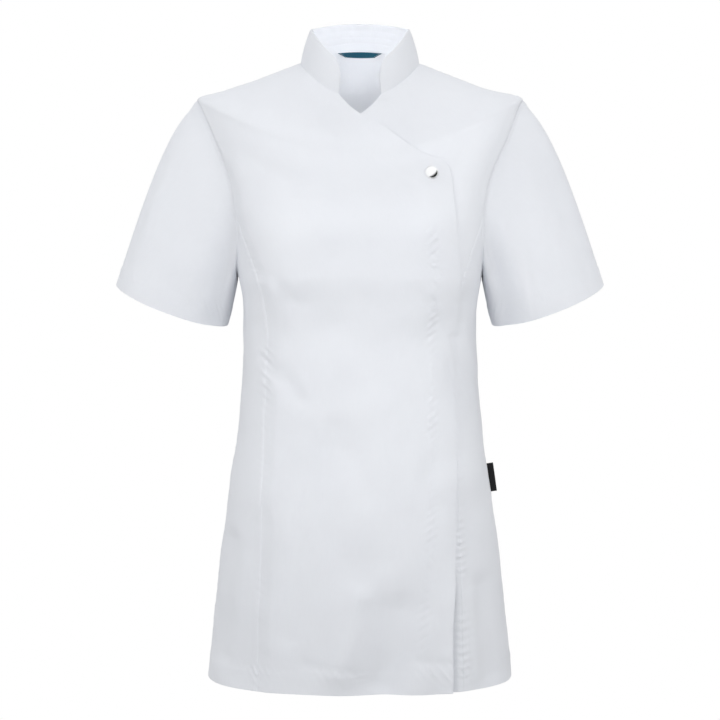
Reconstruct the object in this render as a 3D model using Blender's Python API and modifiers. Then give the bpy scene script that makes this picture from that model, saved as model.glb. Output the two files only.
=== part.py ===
"""Short-sleeved wrap-front tunic with a stand collar, open and filled out as it is worn.

Metres, +Z up. The front faces -Y and the wearer's left is +X. The origin lies midway between the
two points where the shoulder seams meet the collar. The tables are in millimetres.

The trunk is one smooth surface of rings that climb from the hem over the shoulders to the neck.
A place on it is an angle round the body, 0 at the front centre, and a run: the distance from the
hem up the side seam and in along the shoulder seam. Each panel is a slab between two seam lines.
"""

import math
from typing import NamedTuple

import bmesh
import bpy
from mathutils import Vector

MM = 0.001
QUARTER_TURN = math.pi / 2
HALF_TURN = math.pi
FULL_TURN = 2 * math.pi

# Walls and clearances
WALL = 1.5 * MM  # body and sleeve cloth
COLLAR_WALL = 2.0 * MM  # two layers and a stiffener
FACING_WALL = 1.0 * MM
LABEL_WALL = 1.0 * MM
SEAM_GAP = 0.3 * MM
LAYER_GAP = 1.0 * MM  # air between the two crossed fronts
OVERLAP_LIFT = WALL + LAYER_GAP

# Stations along the side and shoulder seams
HEM_RUN = 0
WAIST_RUN = 400
UNDERARM_RUN = 460
SHOULDER_RUN = 668
NECK_RUN = 795
CROSSING_RISE = 24  # run from the collar down to where the fronts cross

# Armholes
FRONT_SCOOP = math.radians(29)
BACK_SCOOP = math.radians(23)
SCOOP_POWER = 2.0
SEAM_TIP = 1.6 * MM  # width of a side front where it runs out at the armhole

# Cuffs: the ellipse that each sleeve ends in
CUFF_CENTRE = (215.5, 8, -276)
CUFF_HALF_WIDTH = 69
CUFF_HALF_DEPTH = 53
CUFF_TILT = math.radians(19.8)  # outer side higher than the inner side
CUFF_LEAN = math.radians(8)  # back edge higher than the front edge
SLEEVE_START_REACH = 0.34  # how long the sleeve keeps to the armhole's direction
SLEEVE_UNDERARM_REACH = 0.6  # the same at the underarm, as a share
SLEEVE_END_REACH = 0.75  # how long it keeps to the cuff's direction
SLEEVE_HEAD_PUFF = 0.55
SLEEVE_HEAD_POWER = 0.8
SLEEVE_SEAM_CLEARANCE = SEAM_GAP * 1.2
SLEEVE_CLEARANCE = 2.5 * MM  # from the trunk, from the second row on
SLEEVE_CLEAR_ROWS = 2
PANEL_SIDE = 10  # run into the panel where a sleeve head takes up its slope
HEAD_EASING = (0.5, 0.5, 0.5)  # shares by which neighbouring directions are drawn together
SLEEVE_EASING = (0.5, -0.53) * 4  # in and back out, which rounds a row and keeps its width

# Collar
COLLAR_END_X = 22
COLLAR_CORNER = 15
COLLAR_END_SHARE = 0.42
COLLAR_BOW = 1.5
COLLAR_CROWDING = 0.8  # columns closer together at the ends
COLLAR_CLEARANCE = SEAM_GAP * 1.2

# Back neck facing and label
FACING_DEPTH_CENTRE = 78
FACING_DEPTH_SHOULDER = 44
FACING_TOP_DROP = 3
FACING_CLEARANCE = SEAM_GAP * 1.5
FACING_END = 0.06  # radians short of the shoulder seam
LABEL_HALF_TOP = 26.5
LABEL_HALF_FOOT = 17.5
LABEL_DROP = 1
LABEL_RUN = 10

# Front closure
UNDERLAP_REACH = 84  # how far the hidden edge lies past the centre
SNAP_PLACE = (79, -121)
SNAP_RADIUS = 7.5 * MM
SNAP_HEIGHT = 3.2 * MM
SNAP_STEPS = 28
DOME_RADIUS = 7.05 * MM
DOME_FOOT = 1.1 * MM
DOME_STEPS = 5
RIM_HEIGHT = 0.7 * MM
RIM_FOOT_RADIUS = 7.2 * MM
RING_RADIUS = 5.5 * MM
RING_BORE = 2.5 * MM
RING_HEIGHT = 1.6 * MM
RING_STEPS = 8
SNAP_GAP = 0.5 * MM

# Side tab
TAB_TOP_Z = -464
TAB_LENGTH = 33
TAB_REACH = 7.5 * MM
TAB_WALL = 1.0 * MM

# Mesh density
ARMHOLE_ROWS = 10
ARMHOLE_CROWDING = 0.6  # 0 spaces the rows evenly
YOKE_ROWS = 7
SKIRT_ROWS = 13
WAIST_ROWS = 3
SEAM_TOP_ROW = 4  # the row of the armhole where the front panel seam ends
FRONT_COLUMNS = 16
SIDE_COLUMNS = 4
BACK_COLUMNS = 24
SLEEVE_ROWS = 8
COLLAR_COLUMNS = 32
COLLAR_ROWS = 3
FACING_COLUMNS = 18
FACING_ROWS = 4
LABEL_COLUMNS = 6
LABEL_ROWS = 2
SHARP_ANGLE = math.radians(50)
MERGE_GAP = 0.1 * MM

ANGLE_STEP = 0.02
RUN_STEP = 4.0
SEARCH_STEPS = 40


class Ring(NamedTuple):
    """One section of the trunk, in millimetres."""

    name: str
    run: float
    side_x: float
    side_y: float
    side_z: float
    front_y: float
    front_z: float
    back_y: float
    back_z: float
    fullness: float  # 2 is an ellipse, more is squarer


RINGS = (
    Ring("hem", 0, 177, 0, -706, -129, -704, 134, -706, 2.35),
    Ring("low hip", 62, 170, 0, -640, -127, -640, 133, -640, 2.25),
    Ring("hip", 142, 161, 0, -560, -122, -560, 129, -560, 2.25),
    Ring("high hip", 222, 150, 0, -480, -116, -480, 119, -480, 2.3),
    Ring("low waist", 302, 139, 0, -400, -111, -400, 107, -400, 2.3),
    Ring("waist", 382, 134, 0, -320, -111, -318, 98, -320, 2.35),
    Ring("high waist", 432, 134.5, 0, -270, -119, -264, 101, -267, 2.45),
    Ring("underarm", 460, 138, 0, -243, -126, -232, 106, -236, 2.5),
    Ring("chest", 515, 148, 0, -190, -125, -192, 112, -180, 2.4),
    Ring("armhole middle", 585, 164, 2, -122, -112, -152, 113, -125, 2.25),
    Ring("armhole top", 635, 179, 4, -74, -101, -123, 106, -92, 2.05),
    Ring("shoulder point", 668, 186, 5, -41, -93, -101, 98, -66, 1.75),
    Ring("outer shoulder", 708, 150, 5, -30, -85, -82, 87, -40, 1.75),
    Ring("inner shoulder", 752, 108, 4, -15.5, -77, -60, 75, -11, 1.9),
    Ring("neck", 795, 68, 3, 0, -69, -38, 62, 17, 2.1),
)

COLLAR_TOP = Ring("collar top", 835, 56, 3, 40, -63, -2, 48, 47, 2.1)


class EdgePoint(NamedTuple):
    """A point of a seam or edge as seen from the front, in millimetres."""

    z: float
    x: float


PANEL_SEAM = (
    EdgePoint(-706, 117),
    EdgePoint(-640, 116),
    EdgePoint(-564, 114),
    EdgePoint(-502, 112),
    EdgePoint(-454, 109),
    EdgePoint(-382, 107),
    EdgePoint(-340, 105),
    EdgePoint(-300, 102.5),
    EdgePoint(-259, 105),
    EdgePoint(-215, 119),
    EdgePoint(-176, 135.3),
    EdgePoint(-150, 142),
)

OVERLAP_EDGE = (
    EdgePoint(-706, 102.5),
    EdgePoint(-638, 102.8),
    EdgePoint(-608, 104.2),
    EdgePoint(-577, 106.5),
    EdgePoint(-517, 108.3),
    EdgePoint(-430, 107.8),
    EdgePoint(-350, 107),
    EdgePoint(-262, 106.5),
    EdgePoint(-173, 104.6),
    EdgePoint(-140, 103),
    EdgePoint(-122, 101),
    EdgePoint(-112, 97),
    EdgePoint(-107, 90),
    EdgePoint(-103, 78),
    EdgePoint(-95, 63),
    EdgePoint(-84, 45.5),
    EdgePoint(-70, 26.5),
    EdgePoint(-57, 1.5),
    EdgePoint(-47, -12),
    EdgePoint(-36, -COLLAR_END_X),
    EdgePoint(-30, -26),
)


class Fold(NamedTuple):
    """A soft trough (depth below zero) or swell between two points of the front or back view."""

    name: str
    top_x: float
    top_z: float
    foot_x: float
    foot_z: float
    half_width: float
    depth: float
    face: int  # -1 on the front, 1 on the back


FOLDS = (
    Fold("right bust", -84, -214, -84, -234, 50, 7, -1),
    Fold("left bust", 84, -214, 84, -234, 50, 7, -1),
    Fold("dimple under the bust", -50, -268, -36, -288, 26, -3.5, -1),
    Fold("front drape", -30, -430, -70, -690, 30, -5, -1),
    Fold("centre drape", 4, -560, 24, -690, 26, -4, -1),
    Fold("side drape", -118, -520, -132, -690, 24, -4, -1),
    Fold("left drape", 128, -500, 140, -690, 24, -4, -1),
    Fold("waist pull", 88, -300, 122, -392, 18, -3, -1),
    Fold("left shoulder blade", 70, -150, 66, -190, 60, 5, 1),
    Fold("right shoulder blade", -70, -150, -66, -190, 60, 5, 1),
    Fold("back waist hollow", 0, -270, 0, -350, 45, -6, 1),
    Fold("back left drape", 62, -400, 84, -690, 30, -5, 1),
    Fold("back right drape", -58, -420, -74, -690, 30, -4.5, 1),
    Fold("back centre drape", 8, -520, 2, -690, 26, -3.5, 1),
)
FOLD_FADE = 45 * MM  # folds fade out over this depth beside the side seams


class Finish(NamedTuple):
    """Colour, roughness and metallic value of a material."""

    colour: tuple[float, float, float]
    roughness: float
    metallic: float


CLOTH = Finish((0.80, 0.82, 0.85), 0.85, 0.0)
METAL = Finish((0.72, 0.73, 0.74), 0.22, 1.0)
TEAL_WEAVE = Finish((0.009, 0.09, 0.14), 0.7, 0.0)
BLACK_WEAVE = Finish((0.012, 0.012, 0.013), 0.7, 0.0)


def smooth_value(places, values, place):
    """Read a smooth curve through the points, which never overshoots them."""
    place = min(max(place, places[0]), places[-1])
    last = len(places) - 1
    grades = [(values[i + 1] - values[i]) / (places[i + 1] - places[i]) for i in range(last)]
    tangents = [grades[0]]
    for before, after in zip(grades, grades[1:]):
        same_way = before * after > 0
        tangents.append(2 * before * after / (before + after) if same_way else 0.0)
    tangents.append(grades[-1])
    index = max(i for i in range(last) if places[i] <= place)
    width = places[index + 1] - places[index]
    t = (place - places[index]) / width
    return (
        values[index] * (1 + 2 * t) * (1 - t) ** 2
        + width * tangents[index] * t * (1 - t) ** 2
        + values[index + 1] * t * t * (3 - 2 * t)
        + width * tangents[index + 1] * t * t * (t - 1)
    )


RUNS = [ring.run for ring in RINGS]
COLUMNS = {field: [getattr(ring, field) for ring in RINGS] for field in Ring._fields[2:]}
ring_cache = {}


def ring_at(run):
    """Give the trunk's ring at a run."""
    if run not in ring_cache:
        sizes = {field: smooth_value(RUNS, COLUMNS[field], run) for field in COLUMNS}
        ring_cache[run] = Ring("between", run, **sizes)
    return ring_cache[run]


def ring_point(ring, angle):
    """Give a point of a ring."""
    sine, cosine = math.sin(angle), math.cos(angle)
    power = 2 / ring.fullness
    x = math.copysign(abs(sine) ** power, sine) * ring.side_x
    far_y, far_z = (ring.front_y, ring.front_z) if cosine >= 0 else (ring.back_y, ring.back_z)
    y = ring.side_y + (far_y - ring.side_y) * abs(cosine) ** power
    z = ring.side_z + (far_z - ring.side_z) * cosine * cosine
    return Vector((x, y, z)) * MM


def body_point(angle, run):
    """Give a point of the trunk's smooth surface."""
    return ring_point(ring_at(run), angle)


def directions(angle, run):
    """Give the unit vectors out of, round and up the trunk, and how far a radian takes one."""
    around = body_point(angle + ANGLE_STEP, run) - body_point(angle - ANGLE_STEP, run)
    upward = body_point(angle, run + RUN_STEP) - body_point(angle, run - RUN_STEP)
    out = around.cross(upward).normalized()
    return out, around.normalized(), upward.normalized(), around.length / (2 * ANGLE_STEP)


def fold_height(point):
    """Add up the folds at a point of the trunk."""
    total = 0.0
    for fold in FOLDS:
        top = Vector((fold.top_x, fold.top_z)) * MM
        foot = Vector((fold.foot_x, fold.foot_z)) * MM
        here = Vector((point.x, point.z))
        line = foot - top
        share = min(max((here - top).dot(line) / line.length_squared, 0.0), 1.0)
        apart = (here - top - line * share).length / (fold.half_width * MM)
        beside = min(max(point.y * fold.face / FOLD_FADE, 0.0), 1.0)
        total += fold.depth * MM * math.exp(-apart * apart) * beside
    return total


def cloth_point(angle, run, lift):
    """Give a point of the draped cloth, moved out by lift."""
    point = body_point(angle, run)
    out = directions(angle, run)[0]
    return point + out * (fold_height(point) + lift)


def moved_angle(angle, run, distance):
    """Move an angle round the ring by a distance."""
    return angle + distance / directions(angle, run)[3]


def side_angle(run, scoop):
    """Angle of the side seam, armhole edge or shoulder seam; scoop is the armhole's depth."""
    share = (run - UNDERARM_RUN) / (SHOULDER_RUN - UNDERARM_RUN)
    if not 0 < share < 1:
        return QUARTER_TURN
    return QUARTER_TURN - scoop * math.sqrt(1 - abs(2 * share - 1) ** SCOOP_POWER)


def angle_at(ring, x):
    """Angle of the ring's front point at x."""
    share = max(-1.0, min(1.0, x / ring.side_x))
    return math.asin(math.copysign(abs(share) ** (ring.fullness / 2), share))


def edge_angle(edge, run):
    """Angle at which a ring crosses an edge that is given as seen from the front."""
    heights = [point.z for point in edge]
    places = [point.x for point in edge]
    ring = ring_at(run)
    angle = 0.0
    for _ in range(SEARCH_STEPS):
        z = ring_point(ring, angle).z / MM
        angle = (angle + angle_at(ring, smooth_value(heights, places, z))) / 2
    return angle


def spaced_rows(start, end, rows):
    """Runs from start to end in even steps, without the end."""
    return [start + (end - start) * i / rows for i in range(rows)]


def armhole_rows():
    """Runs from the underarm to the shoulder, closer together at both ends, without the last."""
    runs = []
    for i in range(ARMHOLE_ROWS):
        even = i / ARMHOLE_ROWS
        eased = (1 - math.cos(HALF_TURN * even)) / 2
        share = even + (eased - even) * ARMHOLE_CROWDING
        runs.append(UNDERARM_RUN + (SHOULDER_RUN - UNDERARM_RUN) * share)
    return runs


ARMHOLE_RUNS = armhole_rows()
BODY_RUNS = (
    spaced_rows(HEM_RUN, WAIST_RUN, SKIRT_ROWS)
    + spaced_rows(WAIST_RUN, UNDERARM_RUN, WAIST_ROWS)
    + ARMHOLE_RUNS
    + spaced_rows(SHOULDER_RUN, NECK_RUN, YOKE_ROWS)
    + [NECK_RUN]
)
SEAM_TOP_RUN = ARMHOLE_RUNS[SEAM_TOP_ROW]
SIDE_RUNS = [run for run in BODY_RUNS if run <= SEAM_TOP_RUN]


def panel_seam_angle(run):
    """Angle of the front panel seam, which runs out into the armhole at its top."""
    angle = edge_angle(PANEL_SEAM, run)
    rise = max(0.0, (run - UNDERARM_RUN) / (SEAM_TOP_RUN - UNDERARM_RUN))
    armhole = moved_angle(side_angle(SEAM_TOP_RUN, FRONT_SCOOP), SEAM_TOP_RUN, -SEAM_TIP)
    return angle + (armhole - edge_angle(PANEL_SEAM, SEAM_TOP_RUN)) * rise * rise


def front_side_angle(run):
    """Outer edge of a centre front: its panel seam, then the armhole and the shoulder seam."""
    if run <= SEAM_TOP_RUN:
        angle = panel_seam_angle(run)
    else:
        angle = side_angle(run, FRONT_SCOOP)
    return moved_angle(angle, run, -SEAM_GAP / 2)


def overlap_angle(run):
    """Free edge of the upper front."""
    return edge_angle(OVERLAP_EDGE, run)


def underlap_angle(run):
    """Free edge of the lower front, mirrored and cut short where it is hidden."""
    return min(edge_angle(OVERLAP_EDGE, run), angle_at(ring_at(run), UNDERLAP_REACH))


def overlap_lift(across, run):
    """How far the upper front stands off: nothing at its own seams and at the collar."""
    from_seam = min(1.0, across * FRONT_COLUMNS)
    from_collar = min(1.0, (NECK_RUN - run) / CROSSING_RISE)
    return OVERLAP_LIFT * from_seam * from_collar


def new_material(name, finish):
    """Make a material of a finish."""
    material = bpy.data.materials.new(name)
    material.use_nodes = True
    shader = material.node_tree.nodes["Principled BSDF"]
    shader.inputs["Base Color"].default_value = (*finish.colour, 1.0)
    shader.inputs["Roughness"].default_value = finish.roughness
    shader.inputs["Metallic"].default_value = finish.metallic
    return material


def cloth_material(name):
    """Make the white cloth."""
    return new_material(name, CLOTH)


def metal_material(name):
    """Make the bright metal of the fastener."""
    return new_material(name, METAL)


def teal_material(name):
    """Make the label's weave."""
    return new_material(name, TEAL_WEAVE)


def black_material(name):
    """Make the side tab's weave."""
    return new_material(name, BLACK_WEAVE)


def add_object(name, mesh, collection, material):
    """Put a mesh in the collection under its own name and material."""
    mesh.materials.append(material(name))
    piece = bpy.data.objects.new(name, mesh)
    collection.objects.link(piece)
    return piece


def add_slab(name, columns, rows, place, collection, material=cloth_material, tube=False):
    """Make a cloth solid: a grid laid out by place(across, row, face), face 0 out and 1 in."""
    bm = bmesh.new()
    bmesh.ops.create_grid(bm, x_segments=columns, y_segments=rows, size=0.5)
    layout = bm.verts.layers.float_vector.new("layout")
    for vert in bm.verts:
        column = round((vert.co.x + 0.5) * columns)
        row = round((vert.co.y + 0.5) * rows)
        vert[layout] = Vector((column, row, 0))
        vert.co = place(column / columns, row, 0)
    if tube:
        bmesh.ops.remove_doubles(bm, verts=bm.verts, dist=MERGE_GAP)
    extruded = bmesh.ops.extrude_face_region(bm, geom=bm.faces[:], use_keep_orig=True)
    for vert in extruded["geom"]:
        if isinstance(vert, bmesh.types.BMVert):
            vert.co = place(vert[layout].x / columns, int(vert[layout].y), 1)
    bmesh.ops.recalc_face_normals(bm, faces=bm.faces)
    bm.verts.layers.float_vector.remove(layout)
    mesh = bpy.data.meshes.new(name)
    bm.to_mesh(mesh)
    bm.free()
    mesh.shade_smooth()
    mesh.set_sharp_from_angle(angle=SHARP_ANGLE)
    return add_object(name, mesh, collection, material)


def add_panel(name, runs, first_edge, last_edge, columns, collection, lift=None):
    """Make a trunk panel between two edges, each a function from run to angle."""
    edges = [(first_edge(run), last_edge(run)) for run in runs]

    def place(across, row, face):
        first, last = edges[row]
        raised = lift(across, runs[row]) if lift else 0.0
        return cloth_point(first + (last - first) * across, runs[row], raised - face * WALL)

    return add_slab(name, columns, len(runs) - 1, place, collection)


def add_front_overlap(collection):
    """Make the upper front, which crosses from the wearer's right to the left."""
    add_panel(
        "front_overlap",
        BODY_RUNS,
        lambda run: -front_side_angle(run),
        overlap_angle,
        FRONT_COLUMNS,
        collection,
        overlap_lift,
    )


def add_front_underlap(collection):
    """Make the lower front, from its hidden edge to the wearer's left seam."""
    add_panel(
        "front_underlap",
        BODY_RUNS,
        lambda run: -underlap_angle(run),
        front_side_angle,
        FRONT_COLUMNS,
        collection,
    )


def add_side_fronts(collection):
    """Make the side fronts, from the panel seams to the side seams."""
    for name, side in (("side_front_left", 1), ("side_front_right", -1)):

        def seam(run, side=side):
            return side * moved_angle(panel_seam_angle(run), run, SEAM_GAP / 2)

        def outer(run, side=side):
            return side * moved_angle(side_angle(run, FRONT_SCOOP), run, -SEAM_GAP / 2)

        add_panel(name, SIDE_RUNS, seam, outer, SIDE_COLUMNS, collection)


def add_back(collection):
    """Make the back, from the wearer's left side seam round to the right one."""

    def left(run):
        return moved_angle(HALF_TURN - side_angle(run, BACK_SCOOP), run, SEAM_GAP / 2)

    add_panel("back", BODY_RUNS, left, lambda run: FULL_TURN - left(run), BACK_COLUMNS, collection)


def cuff_point(turn):
    """Give a point of the left cuff; turn is 0 at the outer side and a quarter at the front."""
    outer = Vector((math.cos(CUFF_TILT), 0, math.sin(CUFF_TILT)))
    front = Vector((0, -math.cos(CUFF_LEAN), -math.sin(CUFF_LEAN)))
    width = outer * (CUFF_HALF_WIDTH * math.cos(FULL_TURN * turn))
    depth = front * (CUFF_HALF_DEPTH * math.sin(FULL_TURN * turn))
    return (Vector(CUFF_CENTRE) + width + depth) * MM


class ArmholePoint(NamedTuple):
    """A point of the left armhole's edge."""

    place: Vector
    away: Vector  # across the edge, out of the panel
    out: Vector  # square off the panel
    height: float  # 0 at the underarm and 1 at the shoulder
    turn: float  # share of the way round, by length


def eased(vectors, easing):
    """Draw each vector of a closed loop towards the middle of its neighbours, once a share."""
    for share in easing:
        following = vectors[1:] + vectors[:1]
        vectors = [
            vectors[i].lerp((vectors[i - 1] + following[i]) / 2, share)
            for i in range(len(vectors))
        ]
    return vectors


def armhole_loop():
    """Give the left armhole's edge, from the shoulder down the front and up the back."""
    up = ARMHOLE_RUNS + [SHOULDER_RUN]
    loop = [(side_angle(run, FRONT_SCOOP), run) for run in reversed(up)]
    loop += [(HALF_TURN - side_angle(run, BACK_SCOOP), run) for run in up[1:-1]]
    count = len(loop)
    places = [cloth_point(angle, run, 0) for angle, run in loop]
    heights = [(run - UNDERARM_RUN) / (SHOULDER_RUN - UNDERARM_RUN) for _, run in loop]
    outs, aways, lengths = [], [], []
    for index, (angle, run) in enumerate(loop):
        outs.append(directions(angle, run + PANEL_SIDE * heights[index])[0])
        along = places[(index + 1) % count] - places[index - 1]
        aways.append(outs[index].cross(along).normalized())
        lengths.append((places[(index + 1) % count] - places[index]).length)
    turns = [sum(lengths[:index]) / sum(lengths) for index in range(count)]
    aways = [away.normalized() for away in eased(aways, HEAD_EASING)]
    outs = [out.normalized() for out in eased(outs, HEAD_EASING)]
    return [ArmholePoint(*values) for values in zip(places, aways, outs, heights, turns)]


def clear_of_trunk(point, clearance):
    """Push a point of the left side level outwards until it is clear of the closed trunk."""
    low, high, angle = HEM_RUN, SHOULDER_RUN, QUARTER_TURN
    for _ in range(SEARCH_STEPS):
        run = (low + high) / 2
        ring = ring_at(run)
        y = point.y / MM - ring.side_y
        far_y = abs((ring.front_y if y < 0 else ring.back_y) - ring.side_y)
        sideways = (max(point.x / MM, 1.0) * far_y) ** (ring.fullness / 2)
        forward = math.copysign((abs(y) * ring.side_x) ** (ring.fullness / 2), -y)
        angle = math.atan2(sideways, forward)
        if ring_point(ring, angle).z < point.z:
            low = run
        else:
            high = run
    trunk = ring_point(ring_at(low), angle)
    level = Vector((trunk.x, trunk.y - ring.side_y * MM, 0)).normalized()
    short = clearance + max(0.0, fold_height(trunk)) - (point - trunk).dot(level)
    return point + level * max(0.0, short)


def sleeve_point(armhole, t):
    """Give a point of the left sleeve's outer face, t of the way from armhole to cuff."""
    start = armhole.place + (armhole.away + armhole.out) * SLEEVE_SEAM_CLEARANCE
    end = cuff_point(armhole.turn)
    chord = end - start
    axis = Vector((math.sin(CUFF_TILT), math.sin(CUFF_LEAN), -math.cos(CUFF_TILT))).normalized()
    swing = armhole.height**SLEEVE_HEAD_POWER
    puff = SLEEVE_HEAD_PUFF * math.sin(QUARTER_TURN * armhole.height)
    leave = (armhole.away + armhole.out * puff) * swing + chord.normalized() * (1 - swing)
    reach = SLEEVE_START_REACH * (SLEEVE_UNDERARM_REACH + swing)
    start_pull = leave.normalized() * chord.length * reach
    end_pull = axis * chord.length * SLEEVE_END_REACH
    return (
        start * (1 + 2 * t) * (1 - t) ** 2
        + start_pull * t * (1 - t) ** 2
        + end * t * t * (3 - 2 * t)
        + end_pull * t * t * (t - 1)
    )


def sleeve_rows():
    """Give the rows of the left sleeve's outer face, rounded and clear of the trunk."""
    loop = armhole_loop()
    rows = [[sleeve_point(armhole, 0.0) for armhole in loop]]
    for row in range(1, SLEEVE_ROWS + 1):
        clearance = SEAM_GAP + SLEEVE_CLEARANCE * min(1.0, row / SLEEVE_CLEAR_ROWS)
        points = [sleeve_point(armhole, row / SLEEVE_ROWS) for armhole in loop]
        rows.append([clear_of_trunk(point, clearance) for point in eased(points, SLEEVE_EASING)])
    return rows


def add_sleeves(collection):
    """Make both sleeves as tubes from the armhole to the cuff."""
    grid = sleeve_rows()
    columns = len(grid[0])

    def inward(index, row):
        above, below = grid[max(row - 1, 0)][index], grid[min(row + 1, SLEEVE_ROWS)][index]
        ahead, behind = grid[row][(index + 1) % columns], grid[row][index - 1]
        return (below - above).cross(ahead - behind).normalized()

    for name, side in (("sleeve_left", 1), ("sleeve_right", -1)):

        def place(across, row, face, side=side):
            index = round(across * columns) % columns
            point = grid[row][index] + inward(index, row) * (WALL * face)
            return Vector((point.x * side, point.y, point.z))

        add_slab(name, columns, SLEEVE_ROWS, place, collection, tube=True)


def add_collar(collection):
    """Make the stand collar, open in front, with rounded ends."""
    neck = ring_at(NECK_RUN)
    end_angle = edge_angle(OVERLAP_EDGE, NECK_RUN)
    sweep = FULL_TURN - 2 * abs(end_angle)
    radius = neck.side_x

    def side_point(angle, share):
        foot = body_point(angle, NECK_RUN) + directions(angle, NECK_RUN)[2] * COLLAR_CLEARANCE
        top = ring_point(COLLAR_TOP, angle)
        bow = math.sin(HALF_TURN * share) * COLLAR_BOW * MM
        level = Vector((foot.x, foot.y, 0)).normalized()
        return foot.lerp(top, share) + level * bow

    def place(across, row, face):
        eased = across - math.sin(FULL_TURN * across) / FULL_TURN * COLLAR_CROWDING
        angle = abs(end_angle) + sweep * eased
        from_end = min(eased, 1 - eased) * sweep * radius
        short = max(0.0, 1 - from_end / COLLAR_CORNER)
        height = COLLAR_END_SHARE + (1 - COLLAR_END_SHARE) * math.sqrt(1 - short * short)
        share = height * row / COLLAR_ROWS
        point = side_point(angle, share)
        around = side_point(angle + ANGLE_STEP, share) - side_point(angle - ANGLE_STEP, share)
        up = side_point(angle, 1.0) - side_point(angle, 0.0)
        inward = up.cross(around).normalized()
        return point + inward * (COLLAR_WALL * face)

    add_slab("collar", COLLAR_COLUMNS, COLLAR_ROWS, place, collection)


def add_back_neck_facing(collection):
    """Make the half-moon facing inside the back neck."""
    first = QUARTER_TURN + FACING_END
    sweep = FULL_TURN - 2 * first

    def place(across, row, face):
        deeper = (FACING_DEPTH_CENTRE - FACING_DEPTH_SHOULDER) * math.sin(HALF_TURN * across)
        height = FACING_DEPTH_SHOULDER + deeper - FACING_TOP_DROP
        run = NECK_RUN - FACING_TOP_DROP - height * (1 - row / FACING_ROWS)
        lift = -WALL - FACING_CLEARANCE - face * FACING_WALL
        return cloth_point(first + sweep * across, run, lift)

    add_slab("back_neck_facing", FACING_COLUMNS, FACING_ROWS, place, collection)


def add_neck_label(collection):
    """Make the bare label on the facing."""
    behind = WALL + FACING_WALL + 2 * FACING_CLEARANCE

    def place(across, row, face):
        half = LABEL_HALF_FOOT + (LABEL_HALF_TOP - LABEL_HALF_FOOT) * row / LABEL_ROWS
        run = NECK_RUN - LABEL_DROP - LABEL_RUN * (1 - row / LABEL_ROWS)
        angle = HALF_TURN - angle_at(ring_at(run), half * (2 * across - 1))
        return cloth_point(angle, run, -behind - face * LABEL_WALL)

    add_slab("neck_label", LABEL_COLUMNS, LABEL_ROWS, place, collection, teal_material)


def add_side_tab(collection):
    """Make the bare tab that stands out of the left side seam."""
    top = TAB_TOP_Z - RINGS[0].side_z

    def place(across, row, face):
        run = top - TAB_LENGTH * (1 - row)
        out, around, _, _ = directions(QUARTER_TURN, run)
        reach = SEAM_GAP + TAB_REACH * across
        return body_point(QUARTER_TURN, run) + out * reach + around * (TAB_WALL * (face - 0.5))

    add_slab("side_tab", 1, 1, place, collection, black_material)


def front_place(x, z):
    """Angle and run of the front surface's point at x, z in the front view."""
    low, high = UNDERARM_RUN, NECK_RUN
    for _ in range(SEARCH_STEPS):
        run = (low + high) / 2
        angle = angle_at(ring_at(run), x)
        if body_point(angle, run).z < z * MM:
            low = run
        else:
            high = run
    return angle, run


def add_turned(name, profile, lift, collection):
    """Turn a closed profile and set it square on the front at the fastener's place."""
    mesh = bpy.data.meshes.new(name)
    edges = [(i, i + 1) for i in range(len(profile) - 1)]
    mesh.from_pydata([(x, 0.0, z) for x, z in profile], edges, [])
    piece = add_object(name, mesh, collection, metal_material)
    screw = piece.modifiers.new("Turn", "SCREW")
    screw.steps = SNAP_STEPS
    screw.render_steps = SNAP_STEPS
    screw.use_merge_vertices = True
    screw.merge_threshold = MERGE_GAP
    screw.use_smooth_shade = True
    angle, run = front_place(*SNAP_PLACE)
    piece.location = cloth_point(angle, run, lift)
    piece.rotation_mode = "QUATERNION"
    piece.rotation_quaternion = directions(angle, run)[0].to_track_quat("Z", "Y")


def add_snap_cap(collection):
    """Make the domed cap on the upper front."""
    profile = []
    for i in range(DOME_STEPS + 1):
        slope = QUARTER_TURN * i / DOME_STEPS
        height = DOME_FOOT + (SNAP_HEIGHT - DOME_FOOT) * math.cos(slope)
        profile.append((DOME_RADIUS * math.sin(slope), height))
    profile += [(SNAP_RADIUS, RIM_HEIGHT), (RIM_FOOT_RADIUS, 0.0), (0.0, 0.0)]
    add_turned("snap_cap", profile, OVERLAP_LIFT + SNAP_GAP, collection)


def add_snap_back_ring(collection):
    """Make the ring behind the lower front."""
    middle = (RING_RADIUS + RING_BORE) / 2
    half = (RING_RADIUS - RING_BORE) / 2
    profile = []
    for i in range(RING_STEPS):
        slope = -FULL_TURN * i / RING_STEPS
        height = RING_HEIGHT / 2 * (math.sin(slope) - 1)
        profile.append((middle + half * math.cos(slope), height))
    profile.append(profile[0])
    add_turned("snap_back_ring", profile, -WALL - SNAP_GAP, collection)


def main():
    """Clear the scene and build the tunic."""
    for item in list(bpy.data.objects):
        bpy.data.objects.remove(item)
    collection = bpy.data.collections.new("Tunic")
    bpy.context.scene.collection.children.link(collection)
    add_front_overlap(collection)
    add_front_underlap(collection)
    add_side_fronts(collection)
    add_back(collection)
    add_sleeves(collection)
    add_collar(collection)
    add_back_neck_facing(collection)
    add_neck_label(collection)
    add_side_tab(collection)
    add_snap_cap(collection)
    add_snap_back_ring(collection)


main()
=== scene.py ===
"""Dressed model of a short-sleeved wrap-front tunic, hollow and filled out as it is worn.

Metres, +Z up. The front faces -Y and the wearer's left is +X. The tables are in millimetres.
A place on the trunk is an angle round the body, 0 at the front centre, and a run: the distance
from the hem up the side seam and in along the shoulder seam.
"""

import logging
import math
from dataclasses import dataclass, field
from enum import Enum
from typing import Mapping, NamedTuple, Sequence

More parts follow.
